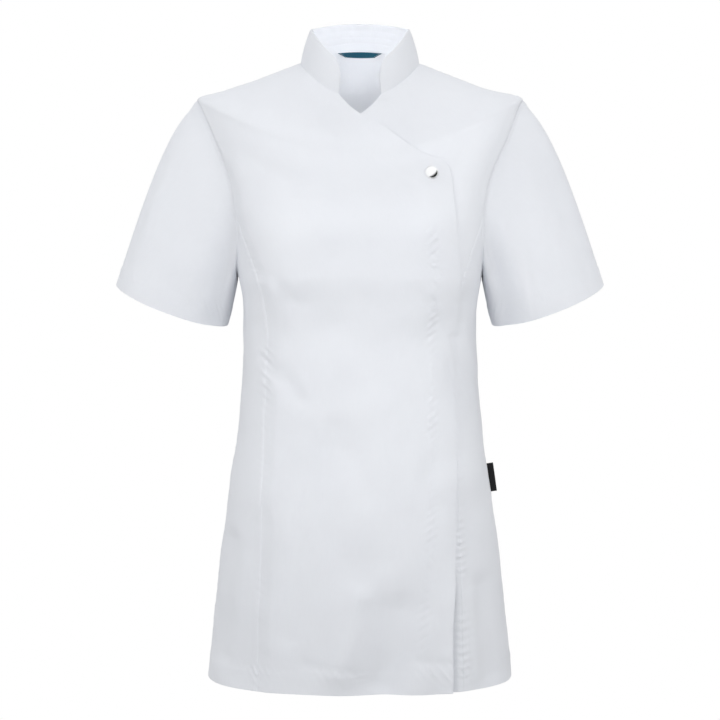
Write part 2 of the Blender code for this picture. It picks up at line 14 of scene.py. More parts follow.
import bmesh
import bpy
import numpy as np
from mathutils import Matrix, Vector


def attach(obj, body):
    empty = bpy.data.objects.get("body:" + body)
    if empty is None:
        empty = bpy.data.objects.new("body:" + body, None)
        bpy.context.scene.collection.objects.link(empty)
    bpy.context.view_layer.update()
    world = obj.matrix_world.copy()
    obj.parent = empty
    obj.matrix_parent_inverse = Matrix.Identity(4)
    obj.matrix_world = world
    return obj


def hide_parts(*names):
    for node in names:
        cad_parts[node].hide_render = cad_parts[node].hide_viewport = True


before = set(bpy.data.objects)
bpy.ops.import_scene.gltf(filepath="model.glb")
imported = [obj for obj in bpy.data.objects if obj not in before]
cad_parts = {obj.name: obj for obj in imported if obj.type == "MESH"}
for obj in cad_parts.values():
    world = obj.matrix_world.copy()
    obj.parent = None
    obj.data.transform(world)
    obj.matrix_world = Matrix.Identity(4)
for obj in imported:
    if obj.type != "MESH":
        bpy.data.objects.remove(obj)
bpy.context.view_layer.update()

MM = 0.001
QUARTER_TURN = math.pi / 2
HALF_TURN = math.pi
FULL_TURN = 2 * math.pi
BODY = "root"
WEAVE_MAP = "weave"
OUT = "out"

SHARP_ANGLE = math.radians(60)  # edges that turn more than this stay sharp
WHITE = (1.0, 1.0, 1.0, 1.0)

Array = np.ndarray
Colour = tuple[float, float, float]
Socket = bpy.types.NodeSocket
Piece = bpy.types.Object
Links = Mapping[str | int, object]  # a node's inputs, each an output socket or a value
Rows = list[tuple[Array, Array]]  # paths of stitches, and the normals along each

# Stations along the side and shoulder seams
UNDERARM_RUN = 460.0
SEAM_TOP_RUN = 536.4
SHOULDER_RUN = 668.0
NECK_RUN = 795.0
CROSSING_RISE = 24.0  # run from the collar down to where the fronts cross

# Armholes and sleeves
FRONT_SCOOP = math.radians(29)
BACK_SCOOP = math.radians(23)
SEAM_TIP = 1.6 * MM
PANEL_SIDE = 10.0
ARMHOLE_CROWDING = 0.6
CUFF_CENTRE = (215.5, 8.0, -276.0)
CUFF_HALF_WIDTH = 69.0
CUFF_HALF_DEPTH = 53.0
CUFF_TILT = math.radians(19.8)
CUFF_LEAN = math.radians(8)
SLEEVE_START_REACH = 0.34
SLEEVE_UNDERARM_REACH = 0.6
SLEEVE_END_REACH = 0.75
SLEEVE_HEAD_PUFF = 0.55
SLEEVE_HEAD_POWER = 0.8
SLEEVE_CLEARANCE = 2.8 * MM
HEAD_EASING = (0.5, 0.5, 0.5)
SLEEVE_EASING = (0.5, -0.53) * 4
EASING_COLUMNS = 20  # the shares of both easings are per step of a twentieth of the way round

# Closure
OVERLAP_LIFT = 1.9 * MM
UNDERLAP_REACH = 84.0
GAPE_TOP = (90.0, 160.0)  # runs over which the foot of the closure draws shut
FACING_WIDTH = 36.0 * MM  # of the turned-in front edge
FACING_LINE = FACING_WIDTH - 2 * MM  # its row of stitches
SNAP_PLACE = (79.0, -121.0)

# Cloth
CLOTH = 0.8 * MM
HEM_DEPTH = 24.0
STITCH_INSET = 1.6  # the stitched row lies this far inside a hem's top edge
HEM_LINE = HEM_DEPTH - STITCH_INSET  # the hem's row of stitches
CUFF_LINE = HEM_LINE - 2  # the cuff's
STITCH_DEPTH = 0.3 * MM
LAYER_STEP = 0.35 * MM  # up to a second layer of cloth
SEAM_DIP = 0.13 * MM
SEAM_DIP_REACH = 1.5 * MM
RIDGE_WIDTH = 7.5 * MM  # of the allowances under a seam
ALLOWANCE_STEPS = (0.5 * MM, 1.6 * MM, 4.0 * MM, 8.0 * MM)
ALLOWANCE_SINK = 1.0 * MM
SEAM_HALF_GAP = 0.01 * MM
ANGLE_STEP = 0.02
RUN_STEP = 4.0
SEARCH_STEPS = 40


class Ring(NamedTuple):
    """One section of the trunk, in millimetres."""

    name: str
    run: float
    side_x: float
    side_y: float
    side_z: float
    front_y: float
    front_z: float
    back_y: float
    back_z: float
    fullness: float


RINGS = (
    Ring("hem", 0, 177, 0, -706, -129, -704, 134, -706, 2.35),
    Ring("low hip", 62, 170, 0, -640, -127, -640, 133, -640, 2.25),
    Ring("hip", 142, 161, 0, -560, -122, -560, 129, -560, 2.25),
    Ring("high hip", 222, 150, 0, -480, -116, -480, 119, -480, 2.3),
    Ring("low waist", 302, 139, 0, -400, -111, -400, 107, -400, 2.3),
    Ring("waist", 382, 134, 0, -320, -111, -318, 98, -320, 2.35),
    Ring("high waist", 432, 134.5, 0, -270, -119, -264, 101, -267, 2.45),
    Ring("underarm", 460, 138, 0, -243, -126, -232, 106, -236, 2.5),
    Ring("chest", 515, 148, 0, -190, -125, -192, 112, -180, 2.4),
    Ring("armhole middle", 585, 164, 2, -122, -112, -152, 113, -125, 2.25),
    Ring("armhole top", 635, 179, 4, -74, -101, -123, 106, -92, 2.05),
    Ring("shoulder point", 668, 186, 5, -41, -93, -101, 98, -66, 1.75),
    Ring("outer shoulder", 708, 150, 5, -30, -85, -82, 87, -40, 1.75),
    Ring("inner shoulder", 752, 108, 4, -15.5, -77, -60, 75, -11, 1.9),
    Ring("neck", 795, 68, 3, 0, -69, -38, 62, 17, 2.1),
)
COLLAR_TOP = Ring("collar top", 835, 56, 3, 40, -63, -2, 48, 47, 2.1)

# Height and x of the seam and of the upper front's free edge in the front view
PANEL_SEAM = (
    (-706, 117),
    (-640, 116),
    (-564, 114),
    (-502, 112),
    (-454, 109),
    (-382, 107),
    (-340, 105),
    (-300, 102.5),
    (-259, 105),
    (-215, 119),
    (-176, 135.3),
    (-150, 142),
)
OVERLAP_EDGE = (
    (-706, 102.5),
    (-638, 102.8),
    (-608, 104.2),
    (-577, 106.5),
    (-517, 108.3),
    (-430, 107.8),
    (-350, 107),
    (-262, 106.5),
    (-173, 104.6),
    (-140, 103),
    (-122, 101),
    (-112, 97),
    (-107, 90),
    (-103, 78),
    (-95, 63),
    (-84, 45.5),
    (-70, 26.5),
    (-57, 1.5),
    (-47, -12),
    (-36, -22),
    (-30, -26),
)


class Side(Enum):
    """Side of the wearer."""

    LEFT = 1
    RIGHT = -1


class Face(Enum):
    """Face of the trunk that a fold lies on."""

    FRONT = -1
    BACK = 1


class Fold(NamedTuple):
    """A soft trough (depth below zero) or swell between two points of the front or back view."""

    name: str
    top_x: float
    top_z: float
    foot_x: float
    foot_z: float
    bow: float  # how far its middle stands to the side
    half_width: float
    depth: float
    face: Face


F, B = Face.FRONT, Face.BACK
FOLDS = (
    Fold("right bust", -84, -214, -84, -234, 0, 50, 7, F),
    Fold("left bust", 84, -214, 84, -234, 0, 50, 7, F),
    Fold("dimple under the bust", -50, -268, -36, -288, 0, 26, -3.5, F),
    Fold("front drape", -30, -430, -70, -690, 0, 30, -5, F),
    Fold("centre drape", 4, -560, 24, -690, 0, 26, -4, F),
    Fold("side drape", -118, -520, -132, -690, 0, 24, -4, F),
    Fold("left drape", 128, -500, 140, -690, 0, 24, -4, F),
    Fold("waist pull", 88, -300, 122, -392, 0, 18, -3, F),
    Fold("left shoulder blade", 70, -150, 66, -190, 0, 60, 5, B),
    Fold("right shoulder blade", -70, -150, -66, -190, 0, 60, 5, B),
    Fold("back waist hollow", 0, -270, 0, -350, 0, 45, -6, B),
    Fold("back left drape", 62, -400, 84, -690, 0, 30, -5, B),
    Fold("back right drape", -58, -420, -74, -690, 0, 30, -4.5, B),
    Fold("back centre drape", 8, -520, 2, -690, 0, 26, -3.5, B),
    Fold("shoulder pull, trough", -168, -72, -84, -128, -4, 13, -1.9, F),
    Fold("shoulder pull, ridge", -150, -52, -74, -100, -4, 13, 1.1, F),
    Fold("armhole swell", -140, -112, -128, -160, 0, 14, 1.4, F),
    Fold("left shoulder pull", 160, -64, 126, -112, 4, 12, 0.7, F),
    Fold("chest pull", -60, -140, 10, -196, 8, 18, -1.0, F),
    Fold("bust shadow", -44, -240, -58, -262, 0, 12, -0.3, F),
    Fold("bust side pull", -104, -232, -70, -262, 5, 8, -1.3, F),
    Fold("left bust pull", 60, -250, 84, -285, 3, 9, -1.2, F),
    Fold("waist crease", 105, -306, 128, -366, -3, 6, -2.6, F),
    Fold("waist crease ridge", 116, -300, 137, -352, -3, 6, 1.8, F),
    Fold("lower waist crease", 100, -338, 120, -380, -3, 6, -1.5, F),
    Fold("right waist dent", -86, -345, -66, -372, 0, 10, -1.8, F),
    Fold("right seam drag", -108, -330, -92, -352, 0, 6, -1.2, F),
    Fold("long drape", -34, -404, -80, -640, -7, 13, -1.9, F),
    Fold("long drape ridge", -62, -470, -104, -650, -6, 13, 1.6, F),
    Fold("second leg", -14, -430, 44, -575, 5, 15, -1.7, F),
    Fold("belly ridge", 10, -500, 4, -590, 4, 14, 1.3, F),
    Fold("skirt hollow", 48, -612, 26, -690, 5, 24, -10.0, F),
    Fold("skirt hollow ridge", 2, -596, -24, -676, 6, 16, 5.4, F),
    Fold("skirt right ridge", 78, -630, 70, -700, 3, 12, 1.2, F),
    Fold("hem crease", -62, -671, -10, -677, 0, 6, -1.3, F),
    Fold("hem crease at the edge", 66, -667, 98, -671, 0, 6, -1.3, F),
    Fold("facing sag", 78, -452, 66, -478, 0, 9, -1.2, F),
    Fold("right side hollow", -150, -540, -160, -670, 0, 12, -3.2, F),
    Fold("left side hollow", 142, -590, 154, -690, 0, 12, -3.0, F),
    Fold("left side ridge", 128, -600, 134, -690, 0, 9, 1.8, F),
    Fold("back yoke pull left", 150, -70, 86, -120, 6, 12, -1.8, B),
    Fold("back yoke pull right", -150, -74, -90, -116, -6, 12, -1.6, B),
    Fold("blade drag left", 124, -150, 70, -208, 5, 10, -1.6, B),
    Fold("blade drag right", -120, -160, -74, -214, -5, 10, -1.4, B),
    Fold("small of the back left", 116, -300, 40, -330, 8, 8, -1.9, B),
    Fold("small of the back right", -112, -318, -46, -340, -8, 8, -1.7, B),
    Fold("second waist fold left", 108, -344, 52, -362, 6, 7, -1.3, B),
    Fold("second waist fold right", -106, -352, -60, -376, -6, 7, -1.2, B),
    Fold("back long drape left", 44, -430, 96, -660, 8, 13, -2.0, B),
    Fold("back long ridge left", 24, -470, 54, -690, 5, 13, 1.7, B),
    Fold("back long drape right", -36, -450, -98, -670, -8, 13, -2.1, B),
    Fold("back long ridge right", -24, -500, -44, -690, -4, 13, 1.5, B),
    Fold("back skirt hollow", 6, -590, -20, -690, 6, 15, -3.0, B),
    Fold("back left side hollow", 146, -560, 158, -690, 0, 14, -2.8, B),
    Fold("back right side hollow", -144, -540, -158, -680, 0, 14, -2.6, B),
)
FOLD_FADE = 45 * MM  # folds fade out over this depth beside the side seams


class Ripple(NamedTuple):
    """A faint wave all over the cloth: its direction, and its length and height in millimetres."""

    x: float
    y: float
    z: float
    length: float
    height: float
    start: float


RIPPLES = (
    Ripple(0.83, 0.31, 0.46, 71, 0.30, 0.4),
    Ripple(-0.55, 0.42, 0.72, 53, 0.24, 1.9),
    Ripple(0.97, -0.15, -0.18, 43, 0.16, 3.3),
    Ripple(0.35, 0.61, -0.71, 61, 0.24, 4.6),
    Ripple(0.70, -0.52, 0.49, 31, 0.09, 5.2),
    Ripple(-0.28, -0.34, 0.90, 37, 0.11, 2.7),
    Ripple(0.62, 0.22, -0.75, 23, 0.05, 0.9),
)


class SleeveFold(NamedTuple):
    """A soft fold of a sleeve between two shares of the way from armhole to cuff."""

    name: str
    top: float
    top_turn: float  # 0 at the outer side, a quarter at the front
    foot: float
    foot_turn: float
    half_turn: float
    depth: float


LEFT_SLEEVE_FOLDS = (
    SleeveFold("front hollow", 0.12, 0.355, 1.15, 0.395, 0.050, -8.0),
    SleeveFold("front ridge", 0.10, 0.27, 0.95, 0.29, 0.033, 3.6),
    SleeveFold("outer ridge", 0.10, 0.15, 0.8, 0.17, 0.030, 1.6),
    SleeveFold("outer hollow", 0.35, 0.09, 1.0, 0.10, 0.030, -1.6),
    SleeveFold("underarm fold", 0.1, 0.42, 0.8, 0.37, 0.035, 2.2),
    SleeveFold("back hollow", 0.2, 0.72, 1.05, 0.70, 0.050, -4.0),
    SleeveFold("back ridge", 0.2, 0.85, 0.9, 0.83, 0.040, 2.4),
    SleeveFold("back underarm fold", 0.1, 0.60, 0.8, 0.62, 0.030, -1.8),
)
RIGHT_SLEEVE_FOLDS = (
    SleeveFold("front hollow", 0.15, 0.35, 1.15, 0.40, 0.050, -5.4),
    SleeveFold("front ridge", 0.12, 0.25, 0.8, 0.28, 0.036, 2.6),
    SleeveFold("outer hollow", 0.25, 0.125, 0.9, 0.14, 0.030, -1.7),
    SleeveFold("outer ridge", 0.20, 0.07, 0.7, 0.08, 0.025, 1.3),
    SleeveFold("hem sag", 0.70, 0.24, 1.05, 0.25, 0.035, -1.6),
    SleeveFold("back hollow", 0.15, 0.70, 1.05, 0.72, 0.055, -4.2),
    SleeveFold("back ridge", 0.2, 0.84, 0.95, 0.85, 0.040, 2.2),
    SleeveFold("underarm fold", 0.1, 0.58, 0.8, 0.60, 0.030, -1.7),
)


def smoothstep(value: Array, low: float, high: float) -> Array:
    """Rise smoothly from 0 at low to 1 at high."""
    t = np.clip((value - low) / (high - low), 0.0, 1.0)
    return t * t * (3 - 2 * t)


def window(value: Array, low: float, high: float, soft: float) -> Array:
    """Be 1 between low and high and fade to 0 over soft outside them."""
    return smoothstep(value, low - soft, low) * (1 - smoothstep(value, high, high + soft))


def unit(vectors: Array) -> Array:
    """Scale vectors to length 1."""
    return vectors / np.linalg.norm(vectors, axis=-1, keepdims=True)


def signed_power(value: Array, power: Array) -> Array:
    """Raise the size of a value to a power and keep its sign."""
    return np.sign(value) * np.abs(value) ** power


class SmoothCurve:
    """A smooth curve through points, which never overshoots them."""

    def __init__(self, places: Sequence[float], values: Sequence[float]) -> None:
        """Work out the tangents.

        Args:
            places: Rising places.
            values: The curve's value at each.
        """
        self.places = np.asarray(places, float)
        self.values = np.asarray(values, float)
        grades = np.diff(self.values) / np.diff(self.places)
        before, after = grades[:-1], grades[1:]
        same_way = before * after > 0
        total = np.where(same_way, before + after, 1.0)
        middle = np.where(same_way, 2 * before * after / total, 0.0)
        self.tangents = np.concatenate((grades[:1], middle, grades[-1:]))

    def __call__(self, place: Array) -> Array:
        """Read the curve at places."""
        place = np.clip(place, self.places[0], self.places[-1])
        last = len(self.places) - 2
        index = np.clip(np.searchsorted(self.places, place, side="right") - 1, 0, last)
        width = self.places[index + 1] - self.places[index]
        t = (place - self.places[index]) / width
        leave, arrive = width * self.tangents[index], width * self.tangents[index + 1]
        return hermite(t, self.values[index], leave, self.values[index + 1], arrive)


def ring_point(ring: Mapping[str, Array], angle: Array) -> Array:
    """Give the points, in metres, at an angle round rings of sizes in millimetres."""
    sine, cosine = np.sin(angle), np.cos(angle)
    power = 2 / ring["fullness"]
    front = cosine >= 0
    far_y = np.where(front, ring["front_y"], ring["back_y"])
    far_z = np.where(front, ring["front_z"], ring["back_z"])
    x = signed_power(sine, power) * ring["side_x"]
    y = ring["side_y"] + (far_y - ring["side_y"]) * np.abs(cosine) ** power
    z = ring["side_z"] + (far_z - ring["side_z"]) * cosine * cosine
    return np.stack(np.broadcast_arrays(x, y, z), axis=-1) * MM


class Trunk:
    """The smooth surface that the body panels are laid on."""

    def __init__(self) -> None:
        """Make a smooth curve of each size of the rings."""
        runs = [ring.run for ring in RINGS]
        self.curves = {
            size: SmoothCurve(runs, [getattr(ring, size) for ring in RINGS])
            for size in Ring._fields[2:]
        }

    def sizes(self, run: Array) -> dict[str, Array]:
        """Give the ring's sizes at a run."""
        return {size: curve(run) for size, curve in self.curves.items()}

    def point(self, angle: Array, run: Array) -> Array:
        """Give points of the smooth surface."""
        return ring_point(self.sizes(np.asarray(run, float)), angle)

    def directions(self, angle: Array, run: Array) -> tuple[Array, Array, Array, Array]:
        """Give the directions at a place.

        Args:
            angle: Angle round the body.
            run: Run of the place.

        Returns:
            Unit vectors out of, round and up the trunk, and metres per radian.
        """
        around = self.point(angle + ANGLE_STEP, run) - self.point(angle - ANGLE_STEP, run)
        upward = self.point(angle, run + RUN_STEP) - self.point(angle, run - RUN_STEP)
        rate = np.linalg.norm(around, axis=-1) / (2 * ANGLE_STEP)
        return unit(np.cross(around, upward)), unit(around), unit(upward), rate

    def fold_height(self, point: Array) -> Array:
        """Add up how far the folds stand out at points of the trunk, in metres."""
        here = point[..., [0, 2]]
        total = np.zeros(point.shape[:-1])
        for fold in FOLDS:
            top = np.array((fold.top_x, fold.top_z)) * MM
            foot = np.array((fold.foot_x, fold.foot_z)) * MM
            along = (foot - top) / np.linalg.norm(foot - top)
            middle = (top + foot) / 2 + np.array((-along[1], along[0])) * fold.bow * MM
            apart = np.full(total.shape, np.inf)
            for start, end in ((top, middle), (middle, foot)):
                line = end - start
                share = np.clip(((here - start) @ line) / (line @ line), 0.0, 1.0)
                gap = np.linalg.norm(here - start - share[..., None] * line, axis=-1)
                apart = np.minimum(apart, gap)
            beside = np.clip(point[..., 1] * fold.face.value / FOLD_FADE, 0.0, 1.0)
            total += fold.depth * MM * bell(apart, 0.0, fold.half_width * MM) * beside
        for ripple in RIPPLES:
            way = point @ np.array((ripple.x, ripple.y, ripple.z)) / MM
            total += ripple.height * MM * np.sin(way / ripple.length * FULL_TURN + ripple.start)
        return total

    def cloth(self, angle: Array, run: Array, lift: Array, side: Side = Side.LEFT) -> Array:
        """Give points of the draped cloth.

        Args:
            angle: Angle round the body.
            run: Run of each place.
            lift: How far the cloth is moved out.
            side: Right takes the folds of the mirrored places.

        Returns:
            Points in metres.
        """
        point = self.point(angle, run)
        out = self.directions(angle, run)[0]
        folds = self.fold_height(point * np.array((side.value, 1, 1)))
        return point + out * np.asarray(folds + lift)[..., None]

    def moved(self, angle: Array, run: Array, distance: Array) -> Array:
        """Move an angle round the ring by a distance."""
        return angle + distance / self.directions(angle, run)[3]

    def side_angle(self, run: Array, scoop: float) -> Array:
        """Angle of the side seam, the armhole's edge or the shoulder seam."""
        share = np.clip((run - UNDERARM_RUN) / (SHOULDER_RUN - UNDERARM_RUN), 0.0, 1.0)
        return QUARTER_TURN - scoop * np.sqrt(1 - (2 * share - 1) ** 2)

    def angle_at(self, run: Array, x: Array) -> Array:
        """Angle of the front point at x, in millimetres."""
        ring = self.sizes(run)
        share = np.clip(x / ring["side_x"], -1.0, 1.0)
        return np.arcsin(signed_power(share, ring["fullness"] / 2))

    def edge_angle(self, edge: Sequence[tuple[float, float]], run: Array) -> Array:
        """Angle at which rings cross an edge.

        Args:
            edge: Height and x of the edge in the front view.
            run: Runs of the rings.

        Returns:
            The angle on each ring.
        """
        curve = SmoothCurve([z for z, _ in edge], [x for _, x in edge])
        angle = np.zeros(np.shape(run))
        for _ in range(SEARCH_STEPS):
            height = self.point(angle, run)[..., 2] / MM
            angle = (angle + self.angle_at(run, curve(height))) / 2
        return angle

    def panel_seam_angle(self, run: Array) -> Array:
        """Angle of the front panel seam, which runs out into the armhole at its top."""
        top = np.array([SEAM_TOP_RUN])
        armhole = self.moved(self.side_angle(top, FRONT_SCOOP), top, -SEAM_TIP)
        shift = armhole - self.edge_angle(PANEL_SEAM, top)
        rise = np.clip((run - UNDERARM_RUN) / (SEAM_TOP_RUN - UNDERARM_RUN), 0.0, None)
        return self.edge_angle(PANEL_SEAM, run) + shift * rise * rise

    def front_side_angle(self, run: Array) -> Array:
        """Outer edge of a centre front: its panel seam, then the armhole and shoulder seam."""
        low = self.panel_seam_angle(np.minimum(run, SEAM_TOP_RUN))
        return np.where(run <= SEAM_TOP_RUN, low, self.side_angle(run, FRONT_SCOOP))

    def clear(self, points: Array, clearance: Array, side: Side) -> Array:
        """Push points of the left side level outwards until they are clear of the trunk.

        Args:
            points: Points in metres.
            clearance: The least distance of each.
            side: Right takes the folds of the mirrored places.

        Returns:
            The points, moved where they were too near.
        """
        low = np.zeros(points.shape[:-1])
        high = np.full(points.shape[:-1], SHOULDER_RUN)
        angle = low
        for _ in range(SEARCH_STEPS):
            run = (low + high) / 2
            ring = self.sizes(run)
            y = points[..., 1] / MM - ring["side_y"]
            far_y = np.abs(np.where(y < 0, ring["front_y"], ring["back_y"]) - ring["side_y"])
            power = ring["fullness"] / 2
            sideways = (np.maximum(points[..., 0] / MM, 1.0) * far_y) ** power
            forward = -signed_power(y * ring["side_x"], power)
            angle = np.arctan2(sideways, forward)
            under = ring_point(ring, angle)[..., 2] < points[..., 2]
            low = np.where(under, run, low)
            high = np.where(under, high, run)
        trunk = self.point(angle, low)
        level = trunk - np.stack((0 * low, self.sizes(low)["side_y"] * MM, trunk[..., 2]), axis=-1)
        level = unit(level)
        folds = self.fold_height(trunk * np.array((side.value, 1, 1)))
        need = clearance + np.maximum(folds, 0.0)
        short = need - ((points - trunk) * level).sum(axis=-1)
        return points + level * np.maximum(short, 0.0)[..., None]


def bell(value: Array, middle: float, half_width: float) -> Array:
    """Be 1 at the middle and fade to both sides."""
    return np.exp(-(((value - middle) / half_width) ** 2))


def grid_normals(points: Array, closed: bool = False) -> Array:
    """Give the outward normals of rows by columns of points, which join up where closed."""
    if closed:
        across = np.roll(points, -1, axis=1) - np.roll(points, 1, axis=1)
    else:
        across = np.gradient(points, axis=1)
    return unit(np.cross(across, np.gradient(points, axis=0)))


def near_path(points: Array, path: Array) -> tuple[Array, Array]:
    """Measure a grid of points against a path.

    Args:
        points: Rows by columns of points.
        path: Points of the path.

    Returns:
        The distance of each point to the path, and how far along it the nearest place is.
    """
    lines = np.diff(path, axis=0)
    lengths = np.linalg.norm(lines, axis=1)
    starts = np.concatenate(([0.0], np.cumsum(lengths)[:-1]))
    distance = np.empty(points.shape[:2])
    reached = np.empty(points.shape[:2])
    for row, line in enumerate(points):
        apart = line[:, None, :] - path[None, :-1, :]
        share = np.clip((apart * lines).sum(axis=2) / (lengths * lengths), 0.0, 1.0)
        gaps = np.linalg.norm(apart - share[..., None] * lines, axis=2)
        best = gaps.argmin(axis=1)
        columns = np.arange(len(line))
        distance[row] = gaps[columns, best]
        reached[row] = starts[best] + share[columns, best] * lengths[best]
    return distance, reached


def seam_dip(distance: Array) -> Array:
    """Sink to a seam in a soft V."""
    return -SEAM_DIP * np.clip(1 - distance / SEAM_DIP_REACH, 0.0, 1.0) ** 2


def seam_ridge(distance: Array, height: float = 0.42 * MM) -> Array:
    """Stand out over the two allowances that are pressed to one side under a seam."""
    rise = smoothstep(distance, -0.2 * MM, 2.0 * MM)
    fall = smoothstep(distance, RIDGE_WIDTH - 1.6 * MM, RIDGE_WIDTH + 2.4 * MM)
    return height * rise * (1 - fall)


class Puckers(NamedTuple):
    """Short wrinkles that a line of stitches draws into cloth, in millimetres."""

    height: float
    pitch: float
    reach: float
    slant: float
    seed: float

    def relief(self, distance: Array, along: Array) -> Array:
        """Give the wrinkles' height.

        Args:
            distance: Distance from the stitches, in metres, below zero on their other side.
            along: Place along them, in metres.

        Returns:
            Height in metres.
        """
        place = (along / MM + self.slant * distance / MM) / self.pitch
        drift = 0.9 * np.sin(place / 4.3 + self.seed) + 0.6 * np.sin(place / 2.1 + 2 * self.seed)
        wave = np.sin(FULL_TURN * place + drift * 2 + self.seed)
        wave = wave + 0.45 * np.sin(FULL_TURN * place * 1.73 + 3 * self.seed)
        patches = 0.6 + 0.4 * np.sin(place / 1.9 + 5 * self.seed)
        return self.height * MM * wave * patches * bell(distance, 0.0, self.reach * MM)


class SeamPuckers(NamedTuple):
    """Puckers beside a seam, strong between two heights and faint elsewhere."""

    puckers: Puckers
    low: float
    high: float
    soft: float

    def relief(self, distance: Array, along: Array, height: Array) -> Array:
        """Give the wrinkles' height at a distance from the seam and a place along it."""
        strong = window(height, self.low, self.high, self.soft)
        return self.puckers.relief(distance, along) * (0.25 + 0.75 * strong)


WAIST, HIP = (-404, -330, 25), (-690, -480, 50)  # from, to and how softly
SEAM_PUCKERS = {
    "front_overlap": SeamPuckers(Puckers(0.65, 10.5, 9.0, 0.5, 0.4), *WAIST),
    "front_underlap": SeamPuckers(Puckers(0.8, 9.0, 10.0, -0.2, 2.2), *HIP),
    "side_front_left": SeamPuckers(Puckers(0.85, 9.0, 11.0, -0.2, 2.2), *HIP),
    "side_front_right": SeamPuckers(Puckers(0.65, 10.5, 9.0, -0.5, 0.4), *WAIST),
}


FACING_PUCKERS = (Puckers(0.5, 9.5, 6.5, 0.7, 0.7), Puckers(0.26, 14.5, 8.0, -0.9, 3.1))
FREE_EDGE_PUCKERS = Puckers(0.2, 21.0, 9.0, -0.4, 2.9)
SIDE_SEAM_PUCKERS = Puckers(0.18, 13.0, 8.0, 0.4, 4.1)
COLLAR_PUCKERS = Puckers(0.16, 17.0, 12.0, 0.3, 0.2)
NECK_FACING_PUCKERS = Puckers(0.3, 12.0, 9.0, 0.2, 5.0)
ARMHOLE_RIDGE, SHOULDER_RIDGE = 0.55 * MM, 0.5 * MM
NECK_RIDGE, BACK_RIDGE = 0.2 * MM, 0.25 * MM
FACING_RIDGE = 0.3 * MM
FACING_ROW = (40.0, 560.0)  # runs between which the facing is stitched down


def hem_relief(up: Array, line: float, across: Array, ropes: Puckers) -> Array:
    """Give the height of a turned hem and of the puckers along its stitches.

    Args:
        up: Height over the hem's edge, in millimetres.
        line: Height of its row of stitches.
        across: Place along it, in metres.
        ropes: The puckers.

    Returns:
        Height in metres.
    """
    band = LAYER_STEP * (1 - smoothstep(up, line + 0.8, line + 2.4))
    return band - STITCH_DEPTH * bell(up, line, 0.9) + ropes.relief((up - line) * MM, across)


def hem_wall(up: Array, low: float, high: float) -> Array:
    """Give the cloth's thickness: more in the hem, less at its edge."""
    return rounded_edge(CLOTH * (1 + 0.7 * (1 - smoothstep(up, low, high))), up * MM)


def rounded_edge(thickness: Array, distance: Array, radius: float = 0.6 * MM) -> Array:
    """Thin a wall towards its free edge, so that the edge comes out round."""
    share = np.clip(distance / radius, 0.0, 1.0)
    return thickness * np.maximum(np.sqrt(1 - (1 - share) ** 2), 0.25)


def smooth(mesh: bpy.types.Mesh) -> None:
    """Shade a mesh smooth but for its sharp edges."""
    mesh.shade_smooth()
    mesh.set_sharp_from_angle(angle=SHARP_ANGLE)


def shell_mesh(name: str, outer: Array, inner: Array, uv: Array, closed: bool) -> bpy.types.Mesh:
    """Make a closed shell of an outer and an inner grid.

    Args:
        name: Name of the mesh.
        outer: Rows by columns of points on the outer face.
        inner: The same on the inner face.
        uv: Place on the flat cloth, with a column more than the grid where it is closed.
        closed: Whether the last column joins the first.

    Returns:
        The mesh, with its places on the flat cloth as a UV map.
    """
    points = np.concatenate((outer.reshape(-1, 3), inner.reshape(-1, 3)))
    count = len(points) // 2
    vertices = np.arange(count).reshape(outer.shape[:2])
    if closed:
        vertices = np.concatenate((vertices, vertices[:, :1]), axis=1)
    corners, places = [], []
    flat = np.arange(uv[..., 0].size).reshape(uv.shape[:2])
    for grid, inside, made in ((vertices, count, corners), (flat, 0, places)):
        quads = np.stack((grid[:-1, :-1], grid[:-1, 1:], grid[1:, 1:], grid[1:, :-1]), axis=-1)
        quads = quads.reshape(-1, 4)
        made += [quads, quads[:, ::-1] + inside]
        borders = [(grid[0], -1), (grid[-1], 1)]
        if not closed:
            borders += [(grid[:, 0], 1), (grid[:, -1], -1)]
        for line, way in borders:
            near = np.stack((line[:-1], line[1:]), axis=-1)[:, ::way]
            made.append(np.concatenate((near, near[:, ::-1] + inside), axis=1))
    mesh = bpy.data.meshes.new(name)
    mesh.from_pydata(points.tolist(), [], np.concatenate(corners).tolist())
    layer = mesh.uv_layers.new(name=WEAVE_MAP)
    layer.data.foreach_set("uv", uv.reshape(-1, 2)[np.concatenate(places).ravel()].ravel())
    smooth(mesh)
    return mesh


def flat_map(points: Array, run: Array, closed: bool = False) -> Array:
    """Lay a grid out flat.

    Args:
        points: Rows by columns of points.
        run: Place of each row up the cloth, in metres.
        closed: Whether the last column joins the first.

    Returns:
        Places on the flat cloth, in metres, from its middle column.
    """
    if closed:
        points = np.concatenate((points, points[:, :1]), axis=1)
    steps = np.linalg.norm(np.diff(points, axis=1), axis=2)
    across = np.concatenate((np.zeros((len(points), 1)), np.cumsum(steps, axis=1)), axis=1)
    across -= across[:, across.shape[1] // 2][:, None]
    return np.stack((across, np.broadcast_to(run[:, None], across.shape)), axis=-1)


